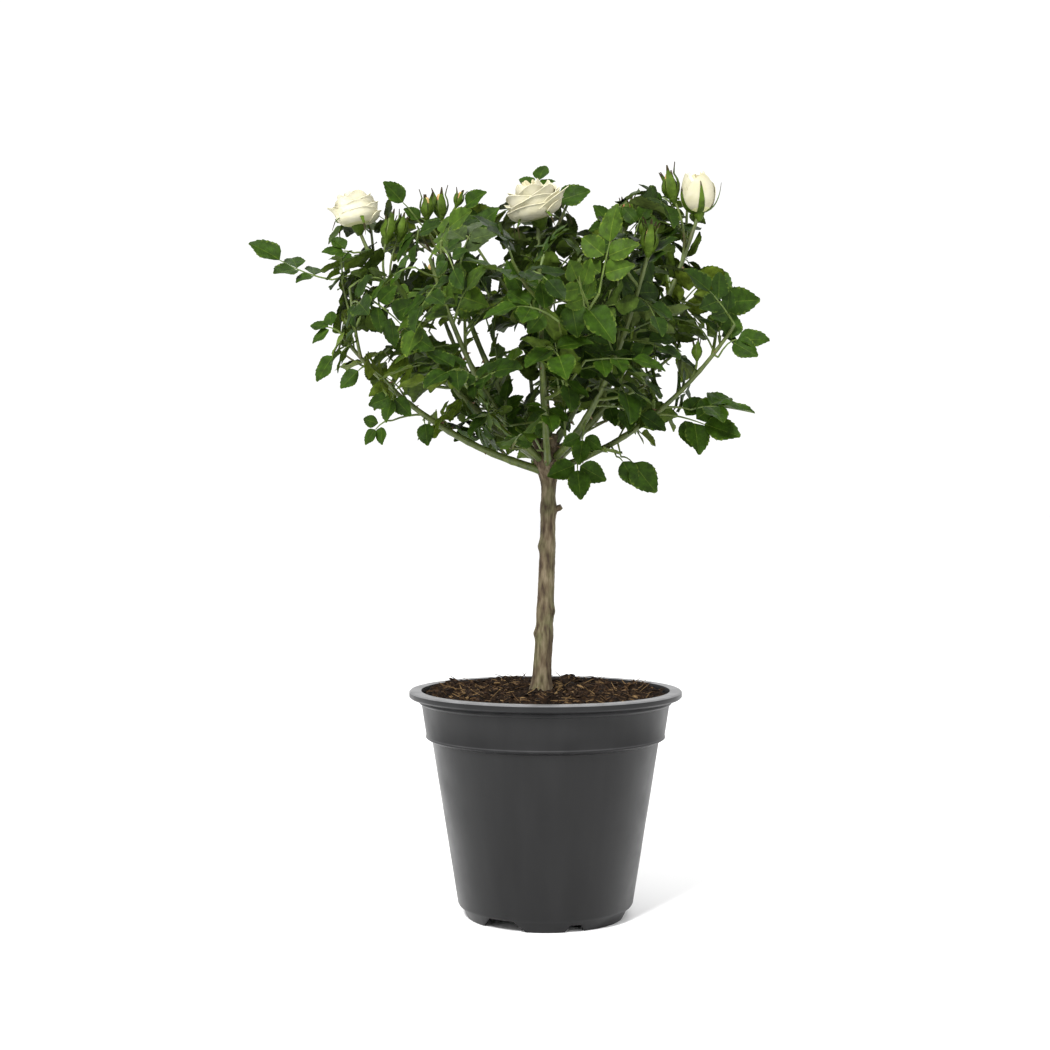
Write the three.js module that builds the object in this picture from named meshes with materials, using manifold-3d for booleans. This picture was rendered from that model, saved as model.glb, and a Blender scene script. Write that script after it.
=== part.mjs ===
// Potted standard rose: a bushy white rose grafted on top of one bare stem, in a round nursery pot.
// Millimetres, +Z up. The origin is the centre of the pot's underside, +X is the viewer's right
// and -Y is the side towards the viewer.
import * as THREE from "three";
import { mergeVertices } from "three/addons/utils/BufferGeometryUtils.js";
import Module from "manifold-3d";

const wasm = await Module();
wasm.setup();

const { Vector2, Vector3, MathUtils } = THREE;
const UP = new Vector3(0, 0, 1);

// Clear space between neighbouring pieces, and the distance under which vertices are one
const GAP = 0.3;
const WELD = 1e-4;

// Pot: a thin moulded wall with a flat rim, a wider band below it and a foot ring cut into pads
const POT = {
  height: 157,
  rimRadius: 95,
  rimWidth: 8.4,
  rimDepth: 5,
  rimRound: 1.2,
  neckHeight: 4.4,
  bandTopRadius: 86.4,
  bandFootRadius: 83.1,
  bandDrop: 31.6,
  stepHeight: 3.1,
  wallTopRadius: 79.1,
  wallFootRadius: 61.2,
  footHeight: 8,
  footTopRadius: 58.4,
  footRadius: 55,
  footThickness: 3,
  wall: 1.4,
  floor: 1.6,
  lip: 0.8,
};

// Cuts in the foot ring: one narrow and one wide notch in each third of the ring
const NOTCH = {
  thirds: 3,
  narrow: { middle: -67.5, halfAngle: 8, rise: 5 },
  wide: { middle: -127, halfAngle: 21, rise: 7.4 },
  topShare: 0.72,
};
const DRAIN = { count: 6, radius: 5, ring: 43, turn: 20 };

// Soil: fills the pot to just below the rim, lumpy except for a flat seat under the stem
const SOIL = { drop: 6, lump: 2.6, seatRadius: 11, rings: 4, edgeGap: 0.5, seed: 5 };

// Trunk: bare stem that leans a little to the right and ends in the knuckle of the graft
const TRUNK = {
  foot: { x: -3.4, y: 0 },
  bend: { x: 2.4, y: 3 },
  top: { x: 2.2, y: 0.8, height: 331 },
  footRadius: 6.4,
  topRadius: 4.5,
  flare: 3.4,
  flareHeight: 7,
  knuckle: { height: 317, radius: 9.6, spread: 11 },
  knots: [
    { height: 196, swell: 0.9 },
    { height: 212, swell: 0.7 },
    { height: 257, swell: 0.8 },
    { height: 283, swell: 0.9 },
  ],
  knotSpread: 4.5,
};

// Boughs and the stems that carry on from them. Azimuth 0 is +X and 90 is the far side. Reach and
// top place the stem's tip, from is the height at which it leaves the knuckle, and low is the height
// that its leaves stay above. Radius, the bare share that shows as bough before the foliage, and what
// the stem ends in are as in STEM unless given.
const BOUGHS = [
  { name: "left_low", azimuth: 189, reach: 141, top: 402, from: 309, low: 348, radius: 2.9 },
  { name: "left_high", azimuth: 176, reach: 131, top: 478, from: 318, low: 345, radius: 3.1, end: "bloom" },
  { name: "left_inner", azimuth: 158, reach: 80, top: 486, from: 324, low: 360, end: "bud" },
  { name: "centre", azimuth: 250, reach: 16, top: 485, from: 328, low: 362, radius: 3.9, end: "bloom" },
  { name: "right_high", azimuth: 356, reach: 106, top: 487, from: 319, low: 345, radius: 3.2, end: "bloom" },
  { name: "right_low", azimuth: 346, reach: 132, top: 408, from: 310, low: 326, radius: 2.4, bare: 0.14 },
  { name: "right_inner", azimuth: 14, reach: 58, top: 484, from: 325, low: 360, end: "bud" },
  { name: "back_left", azimuth: 134, reach: 122, top: 450, from: 313, low: 336, end: "bud" },
  { name: "back", azimuth: 92, reach: 78, top: 478, from: 322, low: 350, end: "bud" },
  { name: "back_low", azimuth: 96, reach: 132, top: 408, from: 309, low: 330, radius: 2.5, bare: 0.3 },
  { name: "back_right", azimuth: 52, reach: 120, top: 450, from: 313, low: 336, end: "bud" },
  { name: "front_left", azimuth: 228, reach: 112, top: 446, from: 314, low: 342 },
  { name: "front", azimuth: 268, reach: 104, top: 436, from: 311, low: 358, radius: 2.6, bare: 0.4 },
  { name: "front_right", azimuth: 308, reach: 108, top: 450, from: 315, low: 345, end: "bud" },
];
const STEM = { radius: 2.8, bare: 0.34, end: "leaf" };
const STEM_LINE = { tipRadius: 1.2, outShare: 0.6, riseShare: 0.22 };

// Side shoots leave a stem in a spiral and turn up towards the light
const SHOOT = {
  perStem: 3,
  longest: 70,
  shortest: 42,
  diverge: 55,
  lift: 0.4,
  radius: 1.3,
  tipRadius: 0.9,
  tries: 12,
};
const GOLDEN_ANGLE = 137.508;
const GROWTH_SEED = 120;

// Leaves: leaflets in pairs on a stalk and one more at its end, cut as one thin plate. Inside the crown
// they are fewer than on the living plant, larger, and have one pair. Where they stand out of the crown
// they are near life size and have two pairs.
const LEAF = {
  onStem: 4,
  perShoot: 3,
  tries: 40,
  apart: 20,
  droop: 0.2,
  diverge: 60,
  outward: 0.5,
  faceLow: 62,
  faceHigh: 20,
  halfStalk: 0.8,
  thickness: 1.3,
  blade: 28,
  width: 0.66,
  widestShare: 0.44,
  fold: 0.16,
  crown: { stalk: 29, scale: 1.3, pairs: 1 },
};
const PAIRS = [
  { at: 0.7, turn: 64, size: 0.86 },
  { at: 0.36, turn: 70, size: 0.68 },
];

// Leaves that stand out of the crown's outline on twigs of their own. They face the viewer unless the
// azimuth and rise of another direction are given.
const STRAYS = [
  { bough: "left_high", at: 0.8, azimuth: 178, rise: 14, twig: 32, stalk: 38, scale: 1, face: [250, 65] },
  { bough: "left_low", at: 0.1, azimuth: 188, rise: -8, twig: 30, stalk: 20, scale: 0.55 },
  { bough: "left_low", at: 0.5, azimuth: 180, rise: -2, twig: 2, stalk: 34, scale: 0.9, face: [250, 30] },
  { bough: "right_low", at: 0.01, azimuth: 262, rise: -40, twig: 4, stalk: 24, scale: 0.65 },
  { bough: "right_low", at: 0.2, azimuth: 338, rise: -34, twig: 2, stalk: 26, scale: 0.7 },
  { bough: "right_low", at: 0.55, azimuth: 352, rise: -16, twig: 6, stalk: 36, scale: 0.9 },
  { bough: "right_low", at: 0.8, azimuth: 352, rise: 46, twig: 2, stalk: 30, scale: 0.75 },
  { bough: "centre", at: 0.96, azimuth: 95, rise: 74, twig: 8, stalk: 24, scale: 0.65 },
  { bough: "back_low", at: 0.2, azimuth: 84, rise: -26, twig: 8, stalk: 34, scale: 0.9, face: [80, 30] },
];
const VIEWER = [270, 30];

// Crown: the space that shoots and leaves keep to. It is fuller on the left of the trunk, and its flat
// top falls off towards the front and the back.
const CROWN = {
  x: -14,
  radius: 148,
  top: 512,
  fall: 0.2,
  faceFoot: 320,
  spaceMargin: 1.2,
  limbMargin: 0.8,
};

// Blooms, with the share of their height at which the outer petals end, and buds
const BLOOM = {
  left_high: { radius: 20, height: 26, lip: 0.66 },
  centre: { radius: 22.5, height: 29, lip: 0.66 },
  right_high: { radius: 13, height: 30, lip: 0.8 },
};
const BUD = { radius: 4.6, height: 18 };
const SEAT = 4; // how far a bloom or bud reaches down over its stem's tip

// Sides and steps of the round pieces, from the pot to the thinnest twigs
const FACETS = {
  pot: 36,
  drain: 10,
  soil: 24,
  trunk: { sides: 9, steps: 22 },
  bough: { sides: 6, steps: 5 },
  stem: { sides: 5, steps: 4 },
  shoot: { sides: 3, steps: 2 },
  twig: { sides: 3, steps: 1 },
  bloom: 10,
  bud: 6,
};

// Finishes
const FINISH = {
  pot: { color: 0x3d3d3e, roughness: 0.5 },
  soil: { color: 0x3a2a1e, roughness: 1 },
  bark: { color: 0x6b5a3c, roughness: 0.85 },
  bough: { color: 0x4c6a2a, roughness: 0.7 },
  foliage: { color: 0x2f5a24, roughness: 0.55 },
};

// Seeded random numbers from 0 to 1
function seeded(seed) {
  let state = seed >>> 0;
  return () => {
    state = (state + 0x6d2b79f5) >>> 0;
    let mixed = Math.imul(state ^ (state >>> 15), state | 1);
    mixed ^= mixed + Math.imul(mixed ^ (mixed >>> 7), mixed | 61);
    return ((mixed ^ (mixed >>> 14)) >>> 0) / 4294967296;
  };
}

// A closed geometry as a solid: shared vertices are merged and collapsed triangles dropped
function solidOf(geometry) {
  const bare = new THREE.BufferGeometry();
  bare.setAttribute("position", geometry.getAttribute("position"));
  bare.setIndex(geometry.index);
  const merged = mergeVertices(bare, WELD);
  const corners = merged.index.array;
  const triangles = [];
  for (let i = 0; i < corners.length; i += 3) {
    const [a, b, c] = corners.slice(i, i + 3);
    if (a !== b && b !== c && c !== a) triangles.push(a, b, c);
  }
  const vertProperties = merged.getAttribute("position").array;
  const triVerts = new Uint32Array(triangles);
  return new wasm.Manifold(new wasm.Mesh({ numProp: 3, vertProperties, triVerts }));
}

function geometryOf(solid) {
  const { vertProperties, triVerts } = solid.getMesh();
  const geometry = new THREE.BufferGeometry();
  geometry.setAttribute("position", new THREE.BufferAttribute(vertProperties, 3));
  geometry.setIndex(new THREE.BufferAttribute(triVerts, 1));
  geometry.computeVertexNormals();
  return geometry;
}

// The largest closed body of a solid, without loose scraps and sealed hollows
function wholeOf(solid) {
  const bodies = solid.decompose();
  return bodies.reduce((best, body) => (body.volume() > best.volume() ? body : best));
}

function meshOf(name, solid, finish) {
  const material = new THREE.MeshStandardMaterial({ ...finish, metalness: 0 });
  const mesh = new THREE.Mesh(geometryOf(solid), material);
  mesh.name = name;
  return mesh;
}

// A profile of [radius, height] pairs turned about the Z axis
function turned(profile, segments) {
  const points = profile.map(([radius, height]) => new Vector2(radius, height));
  return new THREE.LatheGeometry(points, segments).rotateX(Math.PI / 2);
}

// A limb: a cylinder whose vertices are carried along a curve
function limbSolid(curve, radiusAt, { sides, steps }) {
  const geometry = new THREE.CylinderGeometry(1, 1, 1, sides, steps);
  const position = geometry.getAttribute("position");
  const { normals, binormals } = curve.computeFrenetFrames(steps);
  for (let i = 0; i < position.count; i++) {
    const share = position.getY(i) + 0.5;
    const station = Math.round(share * steps);
    const radius = radiusAt(share);
    const point = curve.getPointAt(share);
    point.addScaledVector(normals[station], radius * position.getX(i));
    point.addScaledVector(binormals[station], -radius * position.getZ(i));
    position.setXYZ(i, point.x, point.y, point.z);
  }
  return solidOf(geometry);
}

// Unit vector that points along an azimuth and rises by an angle, both in degrees
function heading(azimuth, rise = 0) {
  const [turn, lift] = [MathUtils.degToRad(azimuth), MathUtils.degToRad(rise)];
  const flat = Math.cos(lift);
  return new Vector3(Math.cos(turn) * flat, Math.sin(turn) * flat, Math.sin(lift));
}

// The stretch of a quadratic curve between two of its parameters
function stretchOf(curve, from, to) {
  const middle = new Vector3()
    .addScaledVector(curve.v0, (1 - from) * (1 - to))
    .addScaledVector(curve.v1, from * (1 - to) + to * (1 - from))
    .addScaledVector(curve.v2, from * to);
  return new THREE.QuadraticBezierCurve3(curve.getPoint(from), middle, curve.getPoint(to));
}

function potProfile() {
  const { height: top, wall, lip } = POT;
  const rimFoot = top - POT.rimDepth;
  const bandTop = rimFoot - POT.neckHeight;
  const bandFoot = top - POT.bandDrop;
  const wallTop = bandFoot - POT.stepHeight;
  const mouth = POT.rimRadius - POT.rimWidth;
  const floorTop = POT.footHeight + POT.floor;
  return [
    [0, POT.footHeight],
    [POT.footTopRadius - POT.footThickness, POT.footHeight],
    [POT.footRadius - POT.footThickness, 0],
    [POT.footRadius, 0],
    [POT.footTopRadius, POT.footHeight],
    [POT.wallFootRadius - lip, POT.footHeight],
    [POT.wallFootRadius, POT.footHeight + 2 * lip],
    [POT.wallTopRadius, wallTop],
    [POT.bandFootRadius - lip, bandFoot - 2 * lip],
    [POT.bandFootRadius, bandFoot],
    [POT.bandTopRadius, bandTop],
    [POT.bandTopRadius + 2 * lip, rimFoot],
    [POT.rimRadius - POT.rimRound, rimFoot],
    [POT.rimRadius, rimFoot + POT.rimRound],
    [POT.rimRadius, top - POT.rimRound],
    [POT.rimRadius - POT.rimRound, top],
    [mouth + POT.rimRound, top],
    [mouth, top - POT.rimRound],
    [POT.bandTopRadius - wall, bandTop],
    [POT.bandFootRadius - wall, bandFoot],
    [POT.wallTopRadius - wall, wallTop],
    [POT.wallFootRadius - wall, floorTop],
    [0, floorTop],
  ];
}

// A cutter that leaves a notch with slanting flanks in the foot ring
function notchCutter({ middle, halfAngle, rise }) {
  const half = POT.footTopRadius * Math.tan(MathUtils.degToRad(halfAngle));
  const below = 2;
  const shape = new THREE.Shape([
    new Vector2(-half, -below),
    new Vector2(half, -below),
    new Vector2(half * NOTCH.topShare, rise),
    new Vector2(-half * NOTCH.topShare, rise),
  ]);
  const depth = 2 * (POT.footTopRadius - POT.footRadius) + 2 * POT.footThickness;
  const cutter = new THREE.ExtrudeGeometry(shape, { depth, bevelEnabled: false });
  cutter.rotateX(Math.PI / 2).translate(0, POT.footTopRadius + POT.footThickness, 0);
  return solidOf(cutter.rotateZ(MathUtils.degToRad(middle - 90)));
}

function potSolid() {
  let pot = solidOf(turned(potProfile(), FACETS.pot));
  for (let third = 0; third < NOTCH.thirds; third++) {
    const turn = (third * 360) / NOTCH.thirds;
    for (const notch of [NOTCH.narrow, NOTCH.wide]) {
      pot = pot.subtract(notchCutter({ ...notch, middle: notch.middle + turn }));
    }
  }
  for (let hole = 0; hole < DRAIN.count; hole++) {
    const centre = heading(DRAIN.turn + (hole * 360) / DRAIN.count).multiplyScalar(DRAIN.ring);
    const drill = new THREE.CylinderGeometry(DRAIN.radius, DRAIN.radius, 4 * POT.floor, FACETS.drain);
    drill.rotateX(Math.PI / 2).translate(centre.x, centre.y, POT.footHeight + POT.floor / 2);
    pot = pot.subtract(solidOf(drill));
  }
  return pot;
}

// Height of the soil and the flat cut of the trunk that stands on it
const soilTop = POT.height - SOIL.drop;

function soilSolid() {
  const inside = POT.wall + GAP;
  const floor = POT.footHeight + POT.floor + GAP;
  const bandFoot = POT.height - POT.bandDrop;
  const wallTop = bandFoot - POT.stepHeight;
  const edge = POT.bandTopRadius - inside - SOIL.edgeGap;
  const random = seeded(SOIL.seed);
  const profile = [
    [0, floor],
    [POT.wallFootRadius - inside - GAP, floor],
    [POT.wallTopRadius - inside, wallTop],
    [POT.bandFootRadius - inside, bandFoot],
    [edge, soilTop],
  ];
  for (let ring = SOIL.rings - 1; ring >= 0; ring--) {
    profile.push([SOIL.seatRadius + ((edge - SOIL.seatRadius) * ring) / SOIL.rings, soilTop]);
  }
  profile.push([0, soilTop]);
  const lathe = turned(profile, FACETS.soil);
  const bare = mergeVertices(lathe.deleteAttribute("normal").deleteAttribute("uv"), WELD);
  const position = bare.getAttribute("position");
  for (let i = 0; i < position.count; i++) {
    const radius = Math.hypot(position.getX(i), position.getY(i));
    const onTop = position.getZ(i) > soilTop - WELD;
    const loose = radius > SOIL.seatRadius + 1 && radius < edge - 1;
    if (onTop && loose) position.setZ(i, soilTop + SOIL.lump * (1.7 * random() - 0.7));
  }
  return solidOf(bare);
}

// Trunk
const trunkFoot = soilTop + GAP;
const trunkHeight = TRUNK.top.height - trunkFoot;
const trunkCurve = new THREE.QuadraticBezierCurve3(
  new Vector3(TRUNK.foot.x, TRUNK.foot.y, trunkFoot),
  new Vector3(TRUNK.bend.x, TRUNK.bend.y, trunkFoot + trunkHeight / 2),
  new Vector3(TRUNK.top.x, TRUNK.top.y, TRUNK.top.height),
);

function swelling(height, middle, spread) {
  return Math.exp(-(((height - middle) / spread) ** 2));
}

function trunkRadius(share) {
  const height = trunkFoot + share * trunkHeight;
  const { knuckle } = TRUNK;
  let radius = MathUtils.lerp(TRUNK.footRadius, TRUNK.topRadius, share);
  radius += TRUNK.flare * Math.exp(-(height - trunkFoot) / TRUNK.flareHeight);
  radius += (knuckle.radius - TRUNK.topRadius) * swelling(height, knuckle.height, knuckle.spread);
  for (const knot of TRUNK.knots) {
    radius += knot.swell * swelling(height, knot.height, TRUNK.knotSpread);
  }
  return radius;
}

// The trunk with its foot cut level, or grown by a clear space to cut the boughs that leave it
function trunkSolid(clear = 0) {
  const solid = limbSolid(trunkCurve, (share) => trunkRadius(share) + clear, FACETS.trunk);
  const side = 8 * TRUNK.footRadius;
  const below = new THREE.BoxGeometry(side, side, side).translate(0, 0, trunkFoot - side / 2);
  return clear ? solid : solid.subtract(solidOf(below));
}

// The whole line of a bough and the stem that carries on from it
function stemCurve({ azimuth, reach, top, from }) {
  const rootShare = (from - trunkFoot) / trunkHeight;
  const root = trunkCurve.getPoint(rootShare);
  const tip = heading(azimuth).multiplyScalar(reach).setZ(top);
  const out = root.clone().lerp(tip, STEM_LINE.outShare);
  out.z = MathUtils.lerp(root.z, tip.z, STEM_LINE.riseShare);
  return new THREE.QuadraticBezierCurve3(root, out, tip);
}

function stemRadius(bough, share) {
  return MathUtils.lerp(bough.radius, STEM_LINE.tipRadius, share);
}

const stems = BOUGHS.map((given, index) => {
  const bough = { ...STEM, ...given };
  const curve = stemCurve(bough);
  const gapShare = GAP / curve.getLength();
  const lower = stretchOf(curve, 0, bough.bare);
  const upper = stretchOf(curve, bough.bare + gapShare, 1);
  const seed = 1000 * (GROWTH_SEED + index);
  return { ...bough, index, seed, lower, upper };
});

function boughSolid(stem, clear = 0) {
  const radiusAt = (share) => stemRadius(stem, share * stem.bare) + clear;
  return limbSolid(stem.lower, radiusAt, FACETS.bough);
}

// Points along a limb with its radius there, for keeping other pieces clear of it
function stationsOf(curve, radiusAt, count) {
  return Array.from({ length: count + 1 }, (_, i) => ({
    point: curve.getPoint(i / count),
    radius: radiusAt(i / count),
  }));
}

const limbs = [
  stationsOf(trunkCurve, trunkRadius, FACETS.trunk.steps),
  ...stems.map((stem) => stationsOf(stem.lower, (share) => stemRadius(stem, share * stem.bare), 8)),
];
const spaces = stems.map((stem) => stationsOf(stem.upper, () => 0, 8));

// Distance from a point to the skin of a limb
function distanceTo(point, stations) {
  let nearest = Infinity;
  for (let i = 1; i < stations.length; i++) {
    const line = new THREE.Line3(stations[i - 1].point, stations[i].point);
    const share = line.closestPointToPointParameter(point, true);
    const radius = MathUtils.lerp(stations[i - 1].radius, stations[i].radius, share);
    nearest = Math.min(nearest, line.at(share, new Vector3()).distanceTo(point) - radius);
  }
  return nearest;
}

// Whether points, swollen by a radius, are nearest to their own stem, in the crown and off every limb
function fits(stem, points, radius, withinCrown = true) {
  return points.every((point) => {
    const inside = Math.hypot(point.x - CROWN.x, point.y) < CROWN.radius;
    const below = point.z < CROWN.top - CROWN.fall * Math.abs(point.y);
    if (withinCrown && !(inside && below && point.z > stem.low)) return false;
    const own = distanceTo(point, spaces[stem.index]) + CROWN.spaceMargin + radius;
    if (spaces.some((space, i) => i !== stem.index && distanceTo(point, space) < own)) return false;
    return limbs.every((limb) => distanceTo(point, limb) > radius + CROWN.limbMargin);
  });
}

// The first of a run of trials that gives something
function firstOf(tries, trial) {
  for (let turn = 0; turn < tries; turn++) {
    const made = trial(turn);
    if (made) return made;
  }
  return null;
}

// A direction that leaves an axis by an angle, turned about it by a roll, both in degrees
function leaving(axis, angle, roll) {
  const side = new Vector3().crossVectors(axis, UP);
  if (side.lengthSq() < WELD) side.set(1, 0, 0);
  side.normalize().applyAxisAngle(axis, MathUtils.degToRad(roll));
  const turn = MathUtils.degToRad(angle);
  return axis.clone().multiplyScalar(Math.cos(turn)).addScaledVector(side, Math.sin(turn));
}

// The direction from the crown's axis to a point
function outwardAt(point) {
  return new Vector3(point.x, point.y, 0).normalize();
}

// Which way a leaf's upper side looks: outwards low in the crown, to the sky near its top
function faceAt(point) {
  const share = MathUtils.clamp(MathUtils.inverseLerp(CROWN.faceFoot, CROWN.top, point.z), 0, 1);
  const tilt = MathUtils.degToRad(MathUtils.lerp(LEAF.faceLow, LEAF.faceHigh, share));
  return outwardAt(point).multiplyScalar(Math.sin(tilt)).addScaledVector(UP, Math.cos(tilt));
}

// A twig that sets out in a direction and has risen or sunk by a share of its length at its tip
function twigCurve(root, direction, length, rise) {
  const bend = root.clone().addScaledVector(direction, 0.5 * length);
  const tip = root.clone().addScaledVector(direction, length).addScaledVector(UP, rise * length);
  return new THREE.QuadraticBezierCurve3(root, bend, tip);
}

function taperedTwig(curve, radius, tipRadius, facets) {
  return limbSolid(curve, (share) => MathUtils.lerp(radius, tipRadius, share), facets);
}

// A side shoot that fits its mass's space
function shootCurve(stem, order) {
  const random = seeded(stem.seed + 100 * (order + 1) + 50);
  const share = (order + 0.5) / SHOOT.perStem;
  const root = stem.upper.getPoint(share);
  const axis = stem.upper.getTangent(share);
  const length = MathUtils.lerp(SHOOT.longest, SHOOT.shortest, share) * (0.85 + 0.3 * random());
  const roll = 360 * random();
  return firstOf(SHOOT.tries, (turn) => {
    const direction = leaving(axis, SHOOT.diverge, roll + turn * GOLDEN_ANGLE);
    const shorter = 1 - (0.5 * turn) / SHOOT.tries;
    const curve = twigCurve(root, direction, length * shorter, SHOOT.lift);
    const clearPart = [0.35, 0.6, 0.8, 1].map((at) => curve.getPoint(at));
    return fits(stem, clearPart, SHOOT.radius) ? curve : null;
  });
}

// Outline of a leaf as flat points, with the stalk along the first axis
function leafOutline({ stalk, scale, pairs }) {
  const half = LEAF.halfStalk;
  const side = [new Vector2(0, half)];
  for (const { at, turn, size } of PAIRS.slice(0, pairs).reverse()) {
    const root = new Vector2(at * stalk, half);
    const length = LEAF.blade * scale * size;
    const [widest, halfWidth] = [LEAF.widestShare * length, (LEAF.width * length) / 2];
    const blade = [new Vector2(widest, halfWidth), new Vector2(length, 0), new Vector2(widest, -halfWidth)];
    const angle = MathUtils.degToRad(turn);
    const placed = blade.map((point) => point.rotateAround(new Vector2(), angle).add(root));
    side.push(new Vector2(root.x - half, half), ...placed, new Vector2(root.x + half, half));
  }
  const length = LEAF.blade * scale;
  side.push(new Vector2(stalk, half));
  side.push(new Vector2(stalk + LEAF.widestShare * length, (LEAF.width * length) / 2));
  const mirrored = side.map(({ x, y }) => new Vector2(x, -y)).reverse();
  return [...side, new Vector2(stalk + length, 0), ...mirrored];
}

// A leaf: its outline as a thin plate, bent along the stalk's curve and folded up beside it
function leafGeometry(curve, kind, faceOf) {
  const shape = new THREE.Shape(leafOutline(kind));
  const plate = new THREE.ExtrudeGeometry(shape, { depth: LEAF.thickness, bevelEnabled: false });
  const position = plate.getAttribute("position");
  for (let i = 0; i < position.count; i++) {
    const [along, across] = [position.getX(i), position.getY(i)];
    const share = Math.min(along / kind.stalk, 1);
    const point = curve.getPoint(share);
    const axis = curve.getTangent(share);
    const face = faceOf(point);
    face.addScaledVector(axis, -face.dot(axis)).normalize();
    const lift = position.getZ(i) - LEAF.thickness / 2 + LEAF.fold * Math.abs(across);
    point.addScaledVector(axis, along - share * kind.stalk);
    point.addScaledVector(new Vector3().crossVectors(face, axis), across);
    point.addScaledVector(face, lift);
    position.setXYZ(i, point.x, point.y, point.z);
  }
  return plate;
}

// A leaf on its drooping stalk, or nothing where it has no room past the root of the stalk
function leafSolid(stem, root, direction, kind, faceOf = faceAt, withinCrown = true) {
  const curve = twigCurve(root, direction, kind.stalk, -LEAF.droop);
  const plate = leafGeometry(curve, kind, faceOf);
  const position = plate.getAttribute("position");
  const rootLength = 0.3 * kind.stalk;
  const corners = [0.4, 0.6].map((share) => curve.getPoint(share));
  for (let i = 0; i < position.count; i++) {
    const corner = new Vector3().fromBufferAttribute(position, i);
    if (corner.distanceTo(root) > rootLength) corners.push(corner);
  }
  return fits(stem, corners, 0, withinCrown) ? solidOf(plate) : null;
}

// Middles of the leaves made so far, which keep apart
const leafMiddles = [];

// A leaf that leaves a twig at a share of its length, turned until it finds room beside the others
function leafAt(stem, twig, share, seed, others) {
  const random = seeded(seed);
  const root = twig.getPoint(share);
  const axis = twig.getTangent(share);
  const roll = 360 * random();
  const stalk = LEAF.crown.stalk * (0.9 + 0.2 * random());
  return firstOf(LEAF.tries, (turn) => {
    const effort = turn / LEAF.tries;
    const direction = leaving(axis, LEAF.diverge, roll + turn * GOLDEN_ANGLE);
    direction.addScaledVector(outwardAt(root), LEAF.outward * (1 - 2 * effort)).normalize();
    const kind = { ...LEAF.crown, stalk, scale: MathUtils.lerp(LEAF.crown.scale, 1, effort) };
    const middle = root.clone().addScaledVector(direction, stalk);
    if (leafMiddles.some((other) => other.distanceTo(middle) < LEAF.apart)) return null;
    const leaf = leafSolid(stem, root, direction, kind);
    if (!leaf || others.some((other) => !other.intersect(leaf).isEmpty())) return null;
    leafMiddles.push(middle);
    return leaf;
  });
}

// Adds the leaves along a twig to those that a mass has
function growLeaves(stem, twig, count, seed, leaves) {
  for (let i = 0; i < count; i++) {
    const leaf = leafAt(stem, twig, (i + 1) / count, seed + i, leaves);
    if (leaf) leaves.push(leaf);
  }
}

// A leaf that stands out of the crown on a twig of its own
function straySolids(stem, stray) {
  const direction = heading(stray.azimuth, stray.rise);
  const twig = twigCurve(stem.upper.getPoint(stray.at), direction, stray.twig, 0);
  const facing = heading(...(stray.face ?? VIEWER));
  const kind = { stalk: stray.stalk, scale: stray.scale, pairs: 2 };
  const leaf = leafSolid(stem, twig.getPoint(1), direction, kind, () => facing.clone(), false);
  return leaf ? [taperedTwig(twig, SHOOT.radius, SHOOT.tipRadius, FACETS.twig), leaf] : [];
}

// A turned shape on the tip of a stem, drawn in between its petals on the rings above its waist
function petalledSolid(root, axis, profile, { segments, waist, notch }) {
  const lathe = turned(profile, segments);
  const position = lathe.getAttribute("position");
  for (let i = 0; i < position.count; i++) {
    const between = Math.floor(i / profile.length) % 2 === 1;
    const pull = between && position.getZ(i) > waist ? notch : 1;
    position.setXYZ(i, position.getX(i) * pull, position.getY(i) * pull, position.getZ(i));
  }
  const turn = new THREE.Quaternion().setFromUnitVectors(UP, axis);
  return solidOf(lathe.applyQuaternion(turn).translate(root.x, root.y, root.z));
}

// A bloom: a cup of outer petals round a heart of inner ones, wide or still narrow
function bloomSolid(root, axis, { radius, height, lip }) {
  const heart = 0.62 * radius;
  const profile = [
    [0, -SEAT],
    [0.34 * radius, 0],
    [0.8 * radius, 0.3 * height],
    [radius, lip * height],
    [heart + 1, (lip - 0.04) * height],
    [heart, 0.94 * height],
    [0.5 * heart, height],
    [0, 0.9 * height],
  ];
  return petalledSolid(root, axis, profile, { segments: FACETS.bloom, waist: height / 2, notch: 0.84 });
}

function budSolid(root, axis) {
  const profile = [
    [0, -SEAT],
    [0.7 * BUD.radius, 0],
    [BUD.radius, 0.35 * BUD.height],
    [0.4 * BUD.radius, 0.8 * BUD.height],
    [0, BUD.height],
  ];
  return petalledSolid(root, axis, profile, { segments: FACETS.bud, waist: BUD.height, notch: 1 });
}

// What a stem carries at its tip
function endSolids(stem) {
  const root = stem.upper.getPoint(1);
  const axis = stem.upper.getTangent(1).add(UP).normalize();
  if (stem.end === "bloom") return [bloomSolid(root, axis, BLOOM[stem.name])];
  return stem.end === "bud" ? [budSolid(root, axis)] : [];
}

// One mass of foliage: a stem, its side shoots, their leaves and what it ends in, fused
function massSolid(stem) {
  const radiusAt = (share) => stemRadius(stem, MathUtils.lerp(stem.bare, 1, share));
  const solids = [limbSolid(stem.upper, radiusAt, FACETS.stem), ...endSolids(stem)];
  for (const stray of STRAYS.filter(({ bough }) => bough === stem.name)) {
    solids.push(...straySolids(stem, stray));
  }
  const leaves = [];
  for (let order = 0; order < SHOOT.perStem; order++) {
    const shoot = shootCurve(stem, order);
    if (!shoot) continue;
    solids.push(taperedTwig(shoot, SHOOT.radius, SHOOT.tipRadius, FACETS.shoot));
    growLeaves(stem, shoot, LEAF.perShoot, stem.seed + 100 * (order + 1), leaves);
  }
  growLeaves(stem, stem.upper, LEAF.onStem, stem.seed, leaves);
  return wholeOf(wasm.Manifold.union([...solids, ...leaves]));
}

// The rose in its pot
const rose = new THREE.Group();
rose.add(meshOf("pot", potSolid(), FINISH.pot));
rose.add(meshOf("soil", soilSolid(), FINISH.soil));
rose.add(meshOf("trunk", trunkSolid(), FINISH.bark));

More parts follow.
